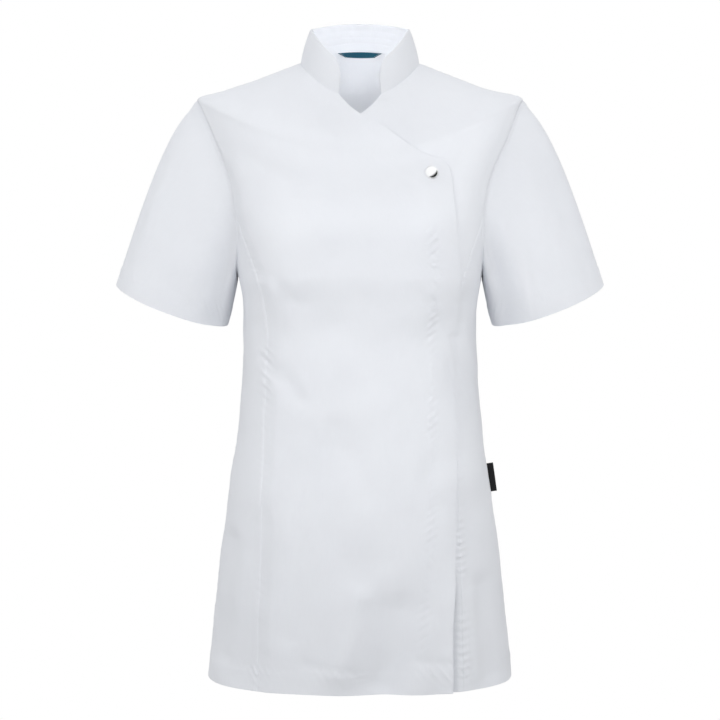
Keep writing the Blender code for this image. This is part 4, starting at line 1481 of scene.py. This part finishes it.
@dataclass
class Sleeve(Cloth):
    """A short set-in sleeve, a tube from the armhole to its turned cuff."""

    side: Side = Side.LEFT
    folds: tuple[SleeveFold, ...] = LEFT_SLEEVE_FOLDS
    half_columns: int = 64
    middle_rows: int = 110
    down: Array = field(init=False, repr=False)  # height over the cuff's edge, in millimetres

    def armhole(self) -> tuple[Array, Array, Array, Array, Array]:
        """Lay out the left armhole's edge.

        Returns:
            Places, directions across the edge and out, heights from 0 to 1, and shares of the
            way round.
        """
        even = np.arange(self.half_columns + 1) / self.half_columns
        crowded = even + ((1 - np.cos(HALF_TURN * even)) / 2 - even) * ARMHOLE_CROWDING
        up = UNDERARM_RUN + (SHOULDER_RUN - UNDERARM_RUN) * crowded
        front = self.trunk.side_angle(up, FRONT_SCOOP)
        back = HALF_TURN - self.trunk.side_angle(up, BACK_SCOOP)
        run = np.concatenate((up[::-1], up[1:-1]))
        angle = np.concatenate((front[::-1], back[1:-1]))
        places = self.trunk.cloth(angle, run, 0 * run, self.side)
        heights = (run - UNDERARM_RUN) / (SHOULDER_RUN - UNDERARM_RUN)
        out = self.trunk.directions(angle, run + PANEL_SIDE * heights)[0]
        along = np.roll(places, -1, axis=0) - np.roll(places, 1, axis=0)
        away = unit(np.cross(out, along))
        steps = np.linalg.norm(np.roll(places, -1, axis=0) - places, axis=1)
        turns = (np.cumsum(steps) - steps) / steps.sum()
        return places, unit(eased(away, HEAD_EASING)), unit(eased(out, HEAD_EASING)), heights, turns

    def cuff(self, turn: Array) -> Array:
        """Give points of the left cuff."""
        outer = np.array((math.cos(CUFF_TILT), 0, math.sin(CUFF_TILT)))
        front = np.array((0, -math.cos(CUFF_LEAN), -math.sin(CUFF_LEAN)))
        width = CUFF_HALF_WIDTH * np.cos(FULL_TURN * turn)[:, None] * outer
        depth = CUFF_HALF_DEPTH * np.sin(FULL_TURN * turn)[:, None] * front
        return (np.array(CUFF_CENTRE) + width + depth) * MM

    def surface(self) -> tuple[Array, Array]:
        """Lay out the left sleeve.

        Returns:
            Rows by columns of points, and the share of the way round of each column.
        """
        places, away, out, height, turns = self.armhole()
        start = places + (away + out) * SEAM_HALF_GAP
        end = self.cuff(turns)
        chord = end - start
        length = np.linalg.norm(chord, axis=1)[:, None]
        axis = unit(np.array((math.sin(CUFF_TILT), math.sin(CUFF_LEAN), -math.cos(CUFF_TILT))))
        swing = height[:, None] ** SLEEVE_HEAD_POWER
        puff = SLEEVE_HEAD_PUFF * np.sin(QUARTER_TURN * height)[:, None]
        leave = unit((away + out * puff) * swing + chord / length * (1 - swing))
        leave = leave * length * SLEEVE_START_REACH * (SLEEVE_UNDERARM_REACH + swing)
        t = self.shares()[:, None, None]
        points = hermite(t, start, leave, end, axis * length * SLEEVE_END_REACH)
        points = eased(points, SLEEVE_EASING, smoothstep(t[..., 0], 0.0, 0.12))
        clearance = SLEEVE_CLEARANCE * smoothstep(t[..., 0], 0.0, 0.25) + 0 * points[..., 0]
        cleared = self.trunk.clear(points, clearance, self.side)
        return points + (cleared - points) * smoothstep(t, 0.0, 0.06), turns

    def shares(self) -> Array:
        """Space the rows, closer together at the armhole's seam and at the cuff's edge."""
        seam = np.geomspace(0.0012, 0.03, 10)
        middle = np.linspace(0.03, 0.97, self.middle_rows)[1:-1]
        return np.concatenate(((0.0,), seam, middle, 1 - seam[::-1], (1.0,)))

    def relief(self, points: Array, turns: Array) -> Array:
        """Give the height of the folds, the seams, the hem and their puckers."""
        t = self.shares()[:, None]
        steps = np.linalg.norm(np.diff(points, axis=0), axis=2)
        down = np.concatenate((np.zeros((1, steps.shape[1])), np.cumsum(steps, axis=0)))
        self.down = (down[-1:] - down) / MM
        around = flat_map(points, t[:, 0], closed=True)[:, :-1, 0]
        drop = 0.6 * MM * smoothstep(down, 0.0, 4 * MM) * (1 - smoothstep(t, 0.05, 0.3))
        total = seam_dip(down) - drop
        total += Puckers(0.25, 15.0, 14.0, 0.0, 1.0 + self.side.value).relief(down, around)
        for fold in self.folds:
            share = (t - fold.top) / (fold.foot - fold.top)
            centre = fold.top_turn + (fold.foot_turn - fold.top_turn) * share
            apart = (turns[None, :] - centre + 0.5) % 1.0 - 0.5
            inside = smoothstep(share, -0.15, 0.35) * (1 - smoothstep(share, 0.75, 1.15))
            total += fold.depth * MM * bell(apart, 0.0, fold.half_turn) * inside
        ropes = Puckers(0.42, 10.0, 8.0, 0.9, 2.0 + self.side.value)
        total += hem_relief(self.down, CUFF_LINE, around, ropes)
        return total + seam_dip(np.abs(around - around[:, self.half_columns][:, None]))

    def build(self, material: bpy.types.Material) -> None:
        """Build and dress the sleeve."""
        base, turns = self.surface()
        shown = base + grid_normals(base, closed=True) * self.relief(base, turns)[..., None]
        if self.side is Side.RIGHT:
            shown = (shown * np.array((-1, 1, 1)))[:, ::-1]
            self.down = self.down[:, ::-1]
        wall = hem_wall(self.down, HEM_DEPTH - 3, HEM_DEPTH - 1)
        self.normals = grid_normals(shown, closed=True)
        self.outer = shown - self.normals * ((CLOTH - np.minimum(wall, CLOTH)) / 2)[..., None]
        inner = self.outer - self.normals * wall[..., None]
        uv = flat_map(self.outer, -self.down[:, 0] * MM, closed=True)
        self.add(self.outer, inner, uv, material, closed=True)

    def rows(self) -> Rows:
        """Give the path of the cuff's stitches and the normals along it."""
        points, normals = [], []
        last = len(self.down) - 1
        for column in range(self.outer.shape[1]):
            at = np.interp(CUFF_LINE, self.down[::-1, column], np.arange(last + 1)[::-1])
            low = int(at)
            share = at - low
            pair = self.outer[low, column], self.outer[min(low + 1, last), column]
            points.append(pair[0] * (1 - share) + pair[1] * share)
            normals.append(self.normals[low, column])
        return [(np.array(points + points[:1]), np.array(normals + normals[:1]))]


@dataclass
class Collar(Cloth):
    """The stand collar, open in front, with rounded ends."""

    columns: int = 240
    height_rows: int = 40
    inner_lines: tuple[float, ...] = (0.28, 0.52, 0.76)  # pressed in on the inside
    end_corner: float = 15.0
    end_share: float = 0.42
    crowding: float = 0.8
    bow: float = 1.5
    wall: float = 1.9 * MM
    rounding: float = 1.4 * MM
    flat_height: float = 48.0 * MM
    sunk: tuple[float, ...] = (-5.0, -2.0)  # rows under the neck seam, in millimetres

    def side_point(self, angle: Array, share: Array) -> Array:
        """Give points of the collar's outer side between its foot and its top."""
        ring = {size: getattr(COLLAR_TOP, size) for size in Ring._fields[2:]}
        run = np.full(angle.shape, NECK_RUN)
        foot = self.trunk.point(angle, run) + self.trunk.directions(angle, run)[2] * 0.3 * MM
        top = ring_point(ring, angle)
        level = unit(foot * np.array((1, 1, 0)))
        bow = np.sin(HALF_TURN * share) * self.bow * MM
        return foot + (top - foot) * share[..., None] + level * bow[..., None]

    def surface(self) -> Array:
        """Lay out the outer side from end to end."""
        end = abs(self.trunk.edge_angle(OVERLAP_EDGE, np.array([NECK_RUN]))[0])
        sweep = FULL_TURN - 2 * end
        across = np.linspace(0.0, 1.0, self.columns)
        across = across - np.sin(FULL_TURN * across) / FULL_TURN * self.crowding
        angle = end + sweep * across
        from_end = np.minimum(across, 1 - across) * sweep * RINGS[-1].side_x
        short = np.clip(1 - from_end / self.end_corner, 0.0, None)
        height = self.end_share + (1 - self.end_share) * np.sqrt(1 - short * short)
        rows = np.linspace(0.0, 1.0, self.height_rows)[:, None]
        angles = np.broadcast_to(angle, (self.height_rows, self.columns))
        standing = self.side_point(angles, height * rows)
        out, _, upward, _ = self.trunk.directions(angle, np.full(angle.shape, NECK_RUN))
        foot = standing[0] - out * ALLOWANCE_SINK
        sunk = [foot + upward * depth * MM for depth in self.sunk]
        return np.concatenate((np.array(sunk), standing))

    def build(self, material: bpy.types.Material) -> None:
        """Build and dress the collar."""
        base = self.surface()
        first = len(self.sunk)
        border = np.concatenate((base[first:, 0], base[-1, 1:-1], base[first:, -1][::-1]))
        edge, along = near_path(base, border[::2])
        height = seam_dip(near_path(base, base[first, ::2])[0])
        height += 0.22 * MM * bell(edge, 6.5 * MM, 5 * MM)
        height += COLLAR_PUCKERS.relief(edge, along)
        wall = rounded_edge(np.full(edge.shape, self.wall), edge, self.rounding)
        wall[:first] = CLOTH
        normals = grid_normals(base)
        height -= (self.wall - wall) / 2 * (edge < self.rounding)
        outer = base + normals * height[..., None]
        rise = np.linspace(0.0, 1.0, self.height_rows)[:, None]
        for line in self.inner_lines:
            wall[first:] -= LAYER_STEP * bell(rise, line, 0.035)
        up = np.linspace(0.0, self.flat_height, len(base))
        self.add(outer, outer - normals * wall[..., None], flat_map(base, up), material)


@dataclass
class NeckFacing(Cloth):
    """The half-moon facing inside the back neck."""

    sewing: str = "facing_overlock"
    stitch: Stitch = Stitch(1.6 * MM, 1.4 * MM, 0.18 * MM)
    columns: int = 120
    height_rows: int = 34
    depth_centre: float = 78.0
    depth_shoulder: float = 44.0
    top_drop: float = 3.0
    end: float = 0.06
    sink: float = 1.5 * MM
    wall: float = 0.7 * MM

    def build(self, material: bpy.types.Material) -> None:
        """Build and dress the facing."""
        across = np.linspace(0.0, 1.0, self.columns)[None, :]
        up = np.linspace(0.0, 1.0, self.height_rows)[:, None]
        first = QUARTER_TURN + self.end
        angle = first + (FULL_TURN - 2 * first) * across + 0 * up
        deeper = (self.depth_centre - self.depth_shoulder) * np.sin(HALF_TURN * across)
        height = self.depth_shoulder + deeper - self.top_drop
        run = NECK_RUN - self.top_drop - height * (1 - up)
        outer = self.trunk.cloth(angle, run, 0 * run - self.sink)
        self.normals = grid_normals(outer)
        edge, along = near_path(outer, outer[0, ::2])
        waves = NECK_FACING_PUCKERS.relief(edge, along)
        outer = outer + self.normals * waves[..., None]
        self.inner = outer - self.normals * self.wall
        self.add(outer, self.inner, flat_map(outer, up[:, 0] * self.depth_centre * MM), material)

    def rows(self) -> Rows:
        """Give the paths of the two needle rows beside the facing's cut edge."""
        return [(self.inner[row, 1:-1], -self.normals[row, 1:-1]) for row in (1, 3)]


@dataclass
class NeckLabel(Cloth):
    """The small woven label inside the back neck."""

    kind: str = "ribbon"
    sewing: str = "label_stitches"
    stitch: Stitch = Stitch(1.8 * MM, 1.5 * MM, 0.15 * MM)
    half_top: float = 26.5
    half_foot: float = 17.5
    drop: float = 0.6
    sag: float = 2.2  # its middle hangs lower than its ends, so that it is straight
    height: float = 10.0
    columns: int = 90
    height_rows: int = 20
    sink: float = 2.5 * MM
    wall: float = 0.5 * MM

    def build(self, material: bpy.types.Material) -> None:
        """Build and dress the label."""
        across = np.linspace(1.0, -1.0, self.columns)[None, :]
        up = np.linspace(0.0, 1.0, self.height_rows)[:, None]
        run = NECK_RUN - self.drop - self.height * (1 - up) - self.sag * (1 - across * across)
        half = self.half_foot + (self.half_top - self.half_foot) * up
        angle = HALF_TURN - self.trunk.angle_at(run, half * across)
        outer = self.trunk.cloth(angle, run, 0 * run - self.sink)
        self.normals = grid_normals(outer)
        fold = 0.25 * MM * smoothstep(np.abs(across), 0.88, 0.92) + 0 * up
        bulge = 0.35 * MM * (1 - across**2) * np.sin(HALF_TURN * up)
        self.inner = outer - self.normals * (self.wall + fold + bulge)[..., None]
        self.add(outer, self.inner, flat_map(outer, up[:, 0] * self.height * MM), material)

    def rows(self) -> Rows:
        """Give the paths of the stitches across the label's two ends."""
        return [(self.inner[1:-1, at], -self.normals[1:-1, at]) for at in (4, self.columns - 5)]


@dataclass
class SideTab(Cloth):
    """The small folded ribbon in the left side seam."""

    kind: str = "ribbon"
    top_run: float = 242.0
    length: float = 33.0
    reach: float = 7.6 * MM
    half_gap: float = 0.45 * MM
    wall: float = 0.35 * MM
    height_rows: int = 40

    def build(self, material: bpy.types.Material) -> None:
        """Build and dress the tab: out along the front layer, round the fold and back."""
        flat = np.linspace(0.0, 1.0, 14)
        turn = np.linspace(0.0, HALF_TURN, 9)[1:-1]
        straight = self.reach - self.half_gap
        round_fold = straight + self.half_gap * np.sin(turn)
        out_by = np.concatenate((straight * flat, round_fold, straight * flat[::-1]))
        aside = np.concatenate((flat * 0 - 1, -np.cos(turn), flat * 0 + 1)) * self.half_gap
        run = self.top_run - self.length * np.linspace(1.0, 0.0, self.height_rows)
        side = np.full(run.shape, QUARTER_TURN)
        out, around, _, _ = self.trunk.directions(side, run)
        seam = self.trunk.point(side, run)
        curl = 0.5 * MM * np.sin(np.linspace(0.3, 3.4, self.height_rows))[:, None]
        points = (
            seam[:, None, :]
            + out[:, None, :] * (out_by[None, :, None] - 0.3 * MM)
            + around[:, None, :] * (aside[None, :] + curl * (out_by / self.reach) ** 2)[..., None]
        )
        inner = points - grid_normals(points) * self.wall
        self.add(points, inner, flat_map(points, run * MM), material)


@dataclass
class PressFastener:
    """The one press fastener: a domed cap on the upper front and a ring behind the lower one."""

    trunk: Trunk
    radius: float = 7.5
    dome_radius: float = 6.7
    height: float = 3.3
    dome_foot: float = 0.9
    bead_middle: float = 0.62
    ring_radius: float = 5.5
    ring_bore: float = 2.5
    ring_height: float = 1.6
    steps: int = 96

    def place(self) -> tuple[Array, Array]:
        """Give the angle and the run of the fastener."""
        low, high = UNDERARM_RUN, NECK_RUN
        for _ in range(SEARCH_STEPS):
            run = (low + high) / 2
            angle = float(self.trunk.angle_at(np.array(run), np.array(SNAP_PLACE[0])))
            if self.trunk.point(np.array(angle), np.array(run))[2] < SNAP_PLACE[1] * MM:
                low = run
            else:
                high = run
        return np.array([angle]), np.array([run])

    def turned(
        self, name: str, profile: Array, lift: float, node: str, metal: bpy.types.Material
    ) -> None:
        """Turn a profile about its axis and set it square on the front.

        Args:
            name: Name of the piece.
            profile: Radius and height of each point, in millimetres, from the axis or closed.
            lift: How far its foot stands off the trunk, in metres.
            node: The frame's node that it stands for.
            metal: Its material.
        """
        angle, run = self.place()
        out = Vector(self.trunk.directions(angle, run)[0][0])
        turn = out.to_track_quat("Z", "Y").to_matrix().to_4x4()
        turn.translation = Vector(self.trunk.cloth(angle, run, np.array([lift]))[0])
        bm = bmesh.new()
        verts = [bm.verts.new((r * MM, 0.0, z * MM)) for r, z in profile]
        edges = [bm.edges.new(pair) for pair in zip(verts, verts[1:])]
        whole = {"cent": (0, 0, 0), "axis": (0, 0, 1), "angle": FULL_TURN, "steps": self.steps}
        bmesh.ops.spin(bm, geom=verts + edges, use_merge=True, **whole)
        bmesh.ops.remove_doubles(bm, verts=bm.verts, dist=0.005 * MM)
        bmesh.ops.recalc_face_normals(bm, faces=bm.faces)
        bm.transform(turn)
        mesh = bpy.data.meshes.new(name)
        bm.to_mesh(mesh)
        bm.free()
        smooth(mesh)
        add_dressed(name, node, mesh, metal)

    def build(self, metal: bpy.types.Material, lift: float) -> None:
        """Build and dress the cap and the ring, with the upper front standing off by a lift."""
        slope = np.linspace(0.0, 1.0, 18) * QUARTER_TURN
        rise = self.height - self.dome_foot
        dome = (self.dome_radius * np.sin(slope), self.dome_foot + rise * np.cos(slope))
        bead = np.linspace(0.75, -0.5, 9) * HALF_TURN
        half = (self.radius - self.dome_radius) / 2
        reach = self.dome_radius + half
        rim = (reach + half * np.cos(bead), self.bead_middle + half * np.sin(bead))
        foot = [(self.radius - 0.5, 0.0), (0.0, 0.0)]
        profile = np.concatenate((np.stack(dome, axis=1), np.stack(rim, axis=1), foot))
        self.turned("snap_cap_metal", profile, lift + 0.1 * MM, "snap_cap", metal)
        middle = (self.ring_radius + self.ring_bore) / 2
        half = (self.ring_radius - self.ring_bore) / 2
        turn = np.linspace(0.0, -FULL_TURN, 17)
        ring = (middle + half * np.cos(turn), self.ring_height / 2 * (np.sin(turn) - 1))
        behind = -CLOTH * 1.6
        self.turned("snap_ring_metal", np.stack(ring, axis=1), behind, "snap_back_ring", metal)


class Lamp(NamedTuple):
    """A square soft light: its place, the point that it faces, and its sizes."""

    name: str
    place: tuple[float, float, float]
    aim: tuple[float, float, float]
    side: float
    power: float
    spread: float = HALF_TURN


@dataclass
class Studio:
    """Camera, soft light and pale floor."""

    distance: float = 2.9
    rise: float = math.radians(6)
    aim_z: float = -0.3395
    lens: float = 125.54
    floor_z: float = -1.4
    floor_half: float = 14.0
    floor_tone: float = 0.55
    world_light_above: float = 1.1
    world_light_below: float = 0.25
    painted_dark_way: tuple[float, float, float] = (0.7, 0.0, -0.7)  # the way in which the painted reflection shows as dark
    painted_dark_span: tuple[float, float] = (0.12, 0.4)  # how nearly that way the painted reflection goes from bright to dark
    painted_reflection_light: tuple[float, float] = (1.05, 0.02)  # how bright the painted reflection is at both ends
    lamps: tuple[Lamp, ...] = (
        Lamp("key", (-0.5, -2.3, 0.9), (0, 0, -0.1), 1.4, 5.0),
        Lamp("low left", (-0.75, -1.15, -0.3), (-0.05, 0, -0.22), 0.6, 0.3, math.radians(50)),
        Lamp("low right", (0.75, -1.15, -0.3), (0.05, 0, -0.22), 0.6, 0.38, math.radians(50)),
        Lamp("neck lamp", (0, -0.042, -0.035), (0, 0.08, -0.025), 0.05, 0.085),
    )

    def camera(self) -> None:
        """Set up the camera at the garment's front, a little above its middle."""
        data = bpy.data.cameras.new("camera")
        data.lens = self.lens
        data.sensor_width = 36.0
        camera = bpy.data.objects.new("camera", data)
        back, up = self.distance * math.cos(self.rise), self.distance * math.sin(self.rise)
        camera.location = (0.0, -back, self.aim_z + up)
        camera.rotation_euler = (QUARTER_TURN - self.rise, 0.0, 0.0)
        bpy.context.scene.collection.objects.link(camera)
        bpy.context.scene.camera = camera

    def hang(self, lamp: Lamp) -> None:
        """Hang a square soft light."""
        data = bpy.data.lights.new(lamp.name, "AREA")
        data.shape = "SQUARE"
        data.size = lamp.side
        data.energy = lamp.power
        data.spread = lamp.spread
        light = bpy.data.objects.new(lamp.name, data)
        light.location = lamp.place
        way = Vector(lamp.aim) - Vector(lamp.place)
        light.rotation_euler = way.to_track_quat("-Z", "Y").to_euler()
        light.visible_camera = False
        light.visible_glossy = False
        bpy.context.scene.collection.objects.link(light)

    def mirrored(self, nodes: Nodes, way: Socket) -> Socket:
        """Give how bright a painted reflection for metal is in a direction: bright, but dark to the
        lower right.
        """
        both = {0: way, 1: self.painted_dark_way}
        aside = nodes.add("ShaderNodeVectorMath", both, operation="DOT_PRODUCT")
        return nodes.span(aside.outputs["Value"], *self.painted_dark_span, *self.painted_reflection_light)

    def surroundings(self) -> None:
        """Set up the white surroundings: bright to look at, softer as a light, and a painted
        reflection to glossy rays.
        """
        world = bpy.data.worlds.new("white surroundings")
        world.use_nodes = True
        bpy.context.scene.world = world
        nodes = Nodes(world.node_tree)
        light = world.node_tree.nodes["Background"]
        way = nodes.add("ShaderNodeTexCoord", {}).outputs["Generated"]
        height = nodes.add("ShaderNodeSeparateXYZ", {"Vector": way}).outputs["Z"]
        strength = nodes.span(height, -1.0, 1.0, self.world_light_below, self.world_light_above)
        path = nodes.add("ShaderNodeLightPath", {}).outputs
        # painted reflection: glossy rays see a bright pattern, dark to the lower right, in place of
        # the world's light
        change = nodes.math("SUBTRACT", self.mirrored(nodes, way), strength)
        strength = nodes.math("MULTIPLY_ADD", path["Is Glossy Ray"], change, strength)
        nodes.give(light, {"Color": WHITE, "Strength": strength})
        seen = nodes.first("ShaderNodeBackground", {"Color": WHITE, "Strength": 1.0})
        both = nodes.either(path["Is Camera Ray"], light.outputs[0], seen)
        nodes.give(world.node_tree.nodes["World Output"], {"Surface": both})

    def floor(self) -> None:
        """Lay the pale floor, evenly white to the camera, which glows for glossy rays as a painted
        reflection, dark to the lower right of the press fastener.
        """
        mesh = bpy.data.meshes.new("floor")
        half = self.floor_half
        corners = [(-half, -half), (half, -half), (half, half), (-half, half)]
        mesh.from_pydata([(x, y, self.floor_z) for x, y in corners], [], [(0, 1, 2, 3)])
        material, nodes, shader = new_material("pale floor")
        nodes.give(shader, {"Base Color": (*(self.floor_tone,) * 3, 1.0), "Roughness": 1.0})
        bright = nodes.first("ShaderNodeEmission", {"Color": WHITE, "Strength": 1.0})
        # painted reflection: to glossy rays the floor glows, bright but dark to the lower right as
        # seen from the press fastener
        snap = (SNAP_PLACE[0] * MM, -0.12, SNAP_PLACE[1] * MM)
        place = {0: nodes.object_place(), 1: snap}
        away = nodes.first("ShaderNodeVectorMath", place, operation="SUBTRACT")
        way = nodes.first("ShaderNodeVectorMath", {0: away}, operation="NORMALIZE")
        strength = self.mirrored(nodes, way)
        painted_reflection_glow = nodes.first("ShaderNodeEmission", {"Color": WHITE, "Strength": strength})
        path = nodes.add("ShaderNodeLightPath", {}).outputs
        unseen = nodes.either(path["Is Glossy Ray"], shader.outputs[0], painted_reflection_glow)
        both = nodes.either(path["Is Camera Ray"], unseen, bright)
        nodes.give(material.node_tree.nodes["Material Output"], {"Surface": both})
        mesh.materials.append(material)
        floor = bpy.data.objects.new("floor", mesh)
        bpy.context.scene.collection.objects.link(floor)

    def build(self) -> None:
        """Set up the whole studio."""
        bpy.context.scene.view_settings.view_transform = "Standard"
        self.camera()
        self.surroundings()
        self.floor()
        for lamp in self.lamps:
            self.hang(lamp)


WHITE_TWILL = WovenFinish(
    name="white twill",
    colour=(0.83, 0.85, 0.89),
    shade=(0.79, 0.81, 0.855),
    roughness=0.78,
    sheen=0.12,
    rib=0.9 * MM,
    rib_height=0.035 * MM,
    crumple_height=0.5 * MM,
)
TEAL_RIBBON = WovenFinish(
    name="teal ribbon",
    colour=(0.012, 0.105, 0.165),
    shade=(0.006, 0.07, 0.115),
    roughness=0.6,
    sheen=0.2,
    rib=0.6 * MM,
    rib_height=0.05 * MM,
    crumple_height=0.05 * MM,
)
BLACK_RIBBON = WovenFinish(
    name="black ribbon",
    colour=(0.016, 0.016, 0.018),
    shade=(0.008, 0.008, 0.009),
    roughness=0.6,
    sheen=0.15,
    rib=0.6 * MM,
    rib_height=0.05 * MM,
    crumple_height=0.05 * MM,
)
WHITE_THREAD = ThreadFinish("white thread", (0.86, 0.875, 0.9), (0.76, 0.78, 0.82))
BRIGHT_PLATE = PlatedFinish("bright plate", (0.95, 0.955, 0.96), 0.12)


class Tunic:
    """The whole garment."""

    def __init__(self) -> None:
        """Lay out its pieces."""
        trunk = Trunk()
        side_cut = Cut(0.136, 0.545, 0.0549)
        right = {"side": Side.RIGHT}
        self.cloth = [
            FrontOverlap(trunk, "front_overlap", Cut(0.322, 0.70, 0.175), "collar_cloth"),
            FrontUnderlap(trunk, "front_underlap", Cut(0.317, 0.70, 0.158), "collar_cloth"),
            SideFront(trunk, "side_front_left", side_cut, "front_underlap_cloth"),
            SideFront(trunk, "side_front_right", side_cut, "front_overlap_cloth", **right),
            Back(trunk, "back", Cut(0.508, 0.745, 0.304), "collar_cloth"),
            Sleeve(trunk, "sleeve_left", Cut(0.42, 0.25, 0.0593), "back_cloth"),
            Sleeve(
                trunk,
                "sleeve_right",
                Cut(0.42, 0.25, 0.059),
                "back_cloth",
                folds=RIGHT_SLEEVE_FOLDS,
                **right,
            ),
            Collar(trunk, "collar", Cut(0.406, 0.045, 0.0158), "back_cloth"),
            NeckFacing(trunk, "back_neck_facing", Cut(0.305, 0.062, 0.0121), "back_cloth"),
        ]
        self.ribbons = {
            TEAL_RIBBON: NeckLabel(
                trunk, "neck_label", Cut(0.0525, 0.01, 0.00032), "back_neck_facing_cloth"
            ),
            BLACK_RIBBON: SideTab(
                trunk, "side_tab", Cut(0.0158, 0.033, 0.00052), "side_front_left_cloth"
            ),
        }
        self.fastener = PressFastener(trunk)

    def build(self) -> None:
        """Build every piece, sew it and log the area of its cloth."""
        white = WHITE_TWILL.material()
        stitching = Stitching(WHITE_THREAD)
        for piece in self.cloth:
            piece.build(white)
        for finish, piece in self.ribbons.items():
            piece.build(finish.material())
        self.fastener.build(BRIGHT_PLATE.material(), OVERLAP_LIFT + 0.3 * MM)
        for piece in (*self.cloth, *self.ribbons.values()):
            piece.finish(stitching)


def main() -> None:
    """Build the studio and the tunic."""
    logging.basicConfig(level=logging.INFO, format="%(message)s")
    Studio().build()
    logging.info("studio: camera, light and floor")
    Tunic().build()
    logging.info("tunic: every piece built")


if __name__ == "__main__":
    main()
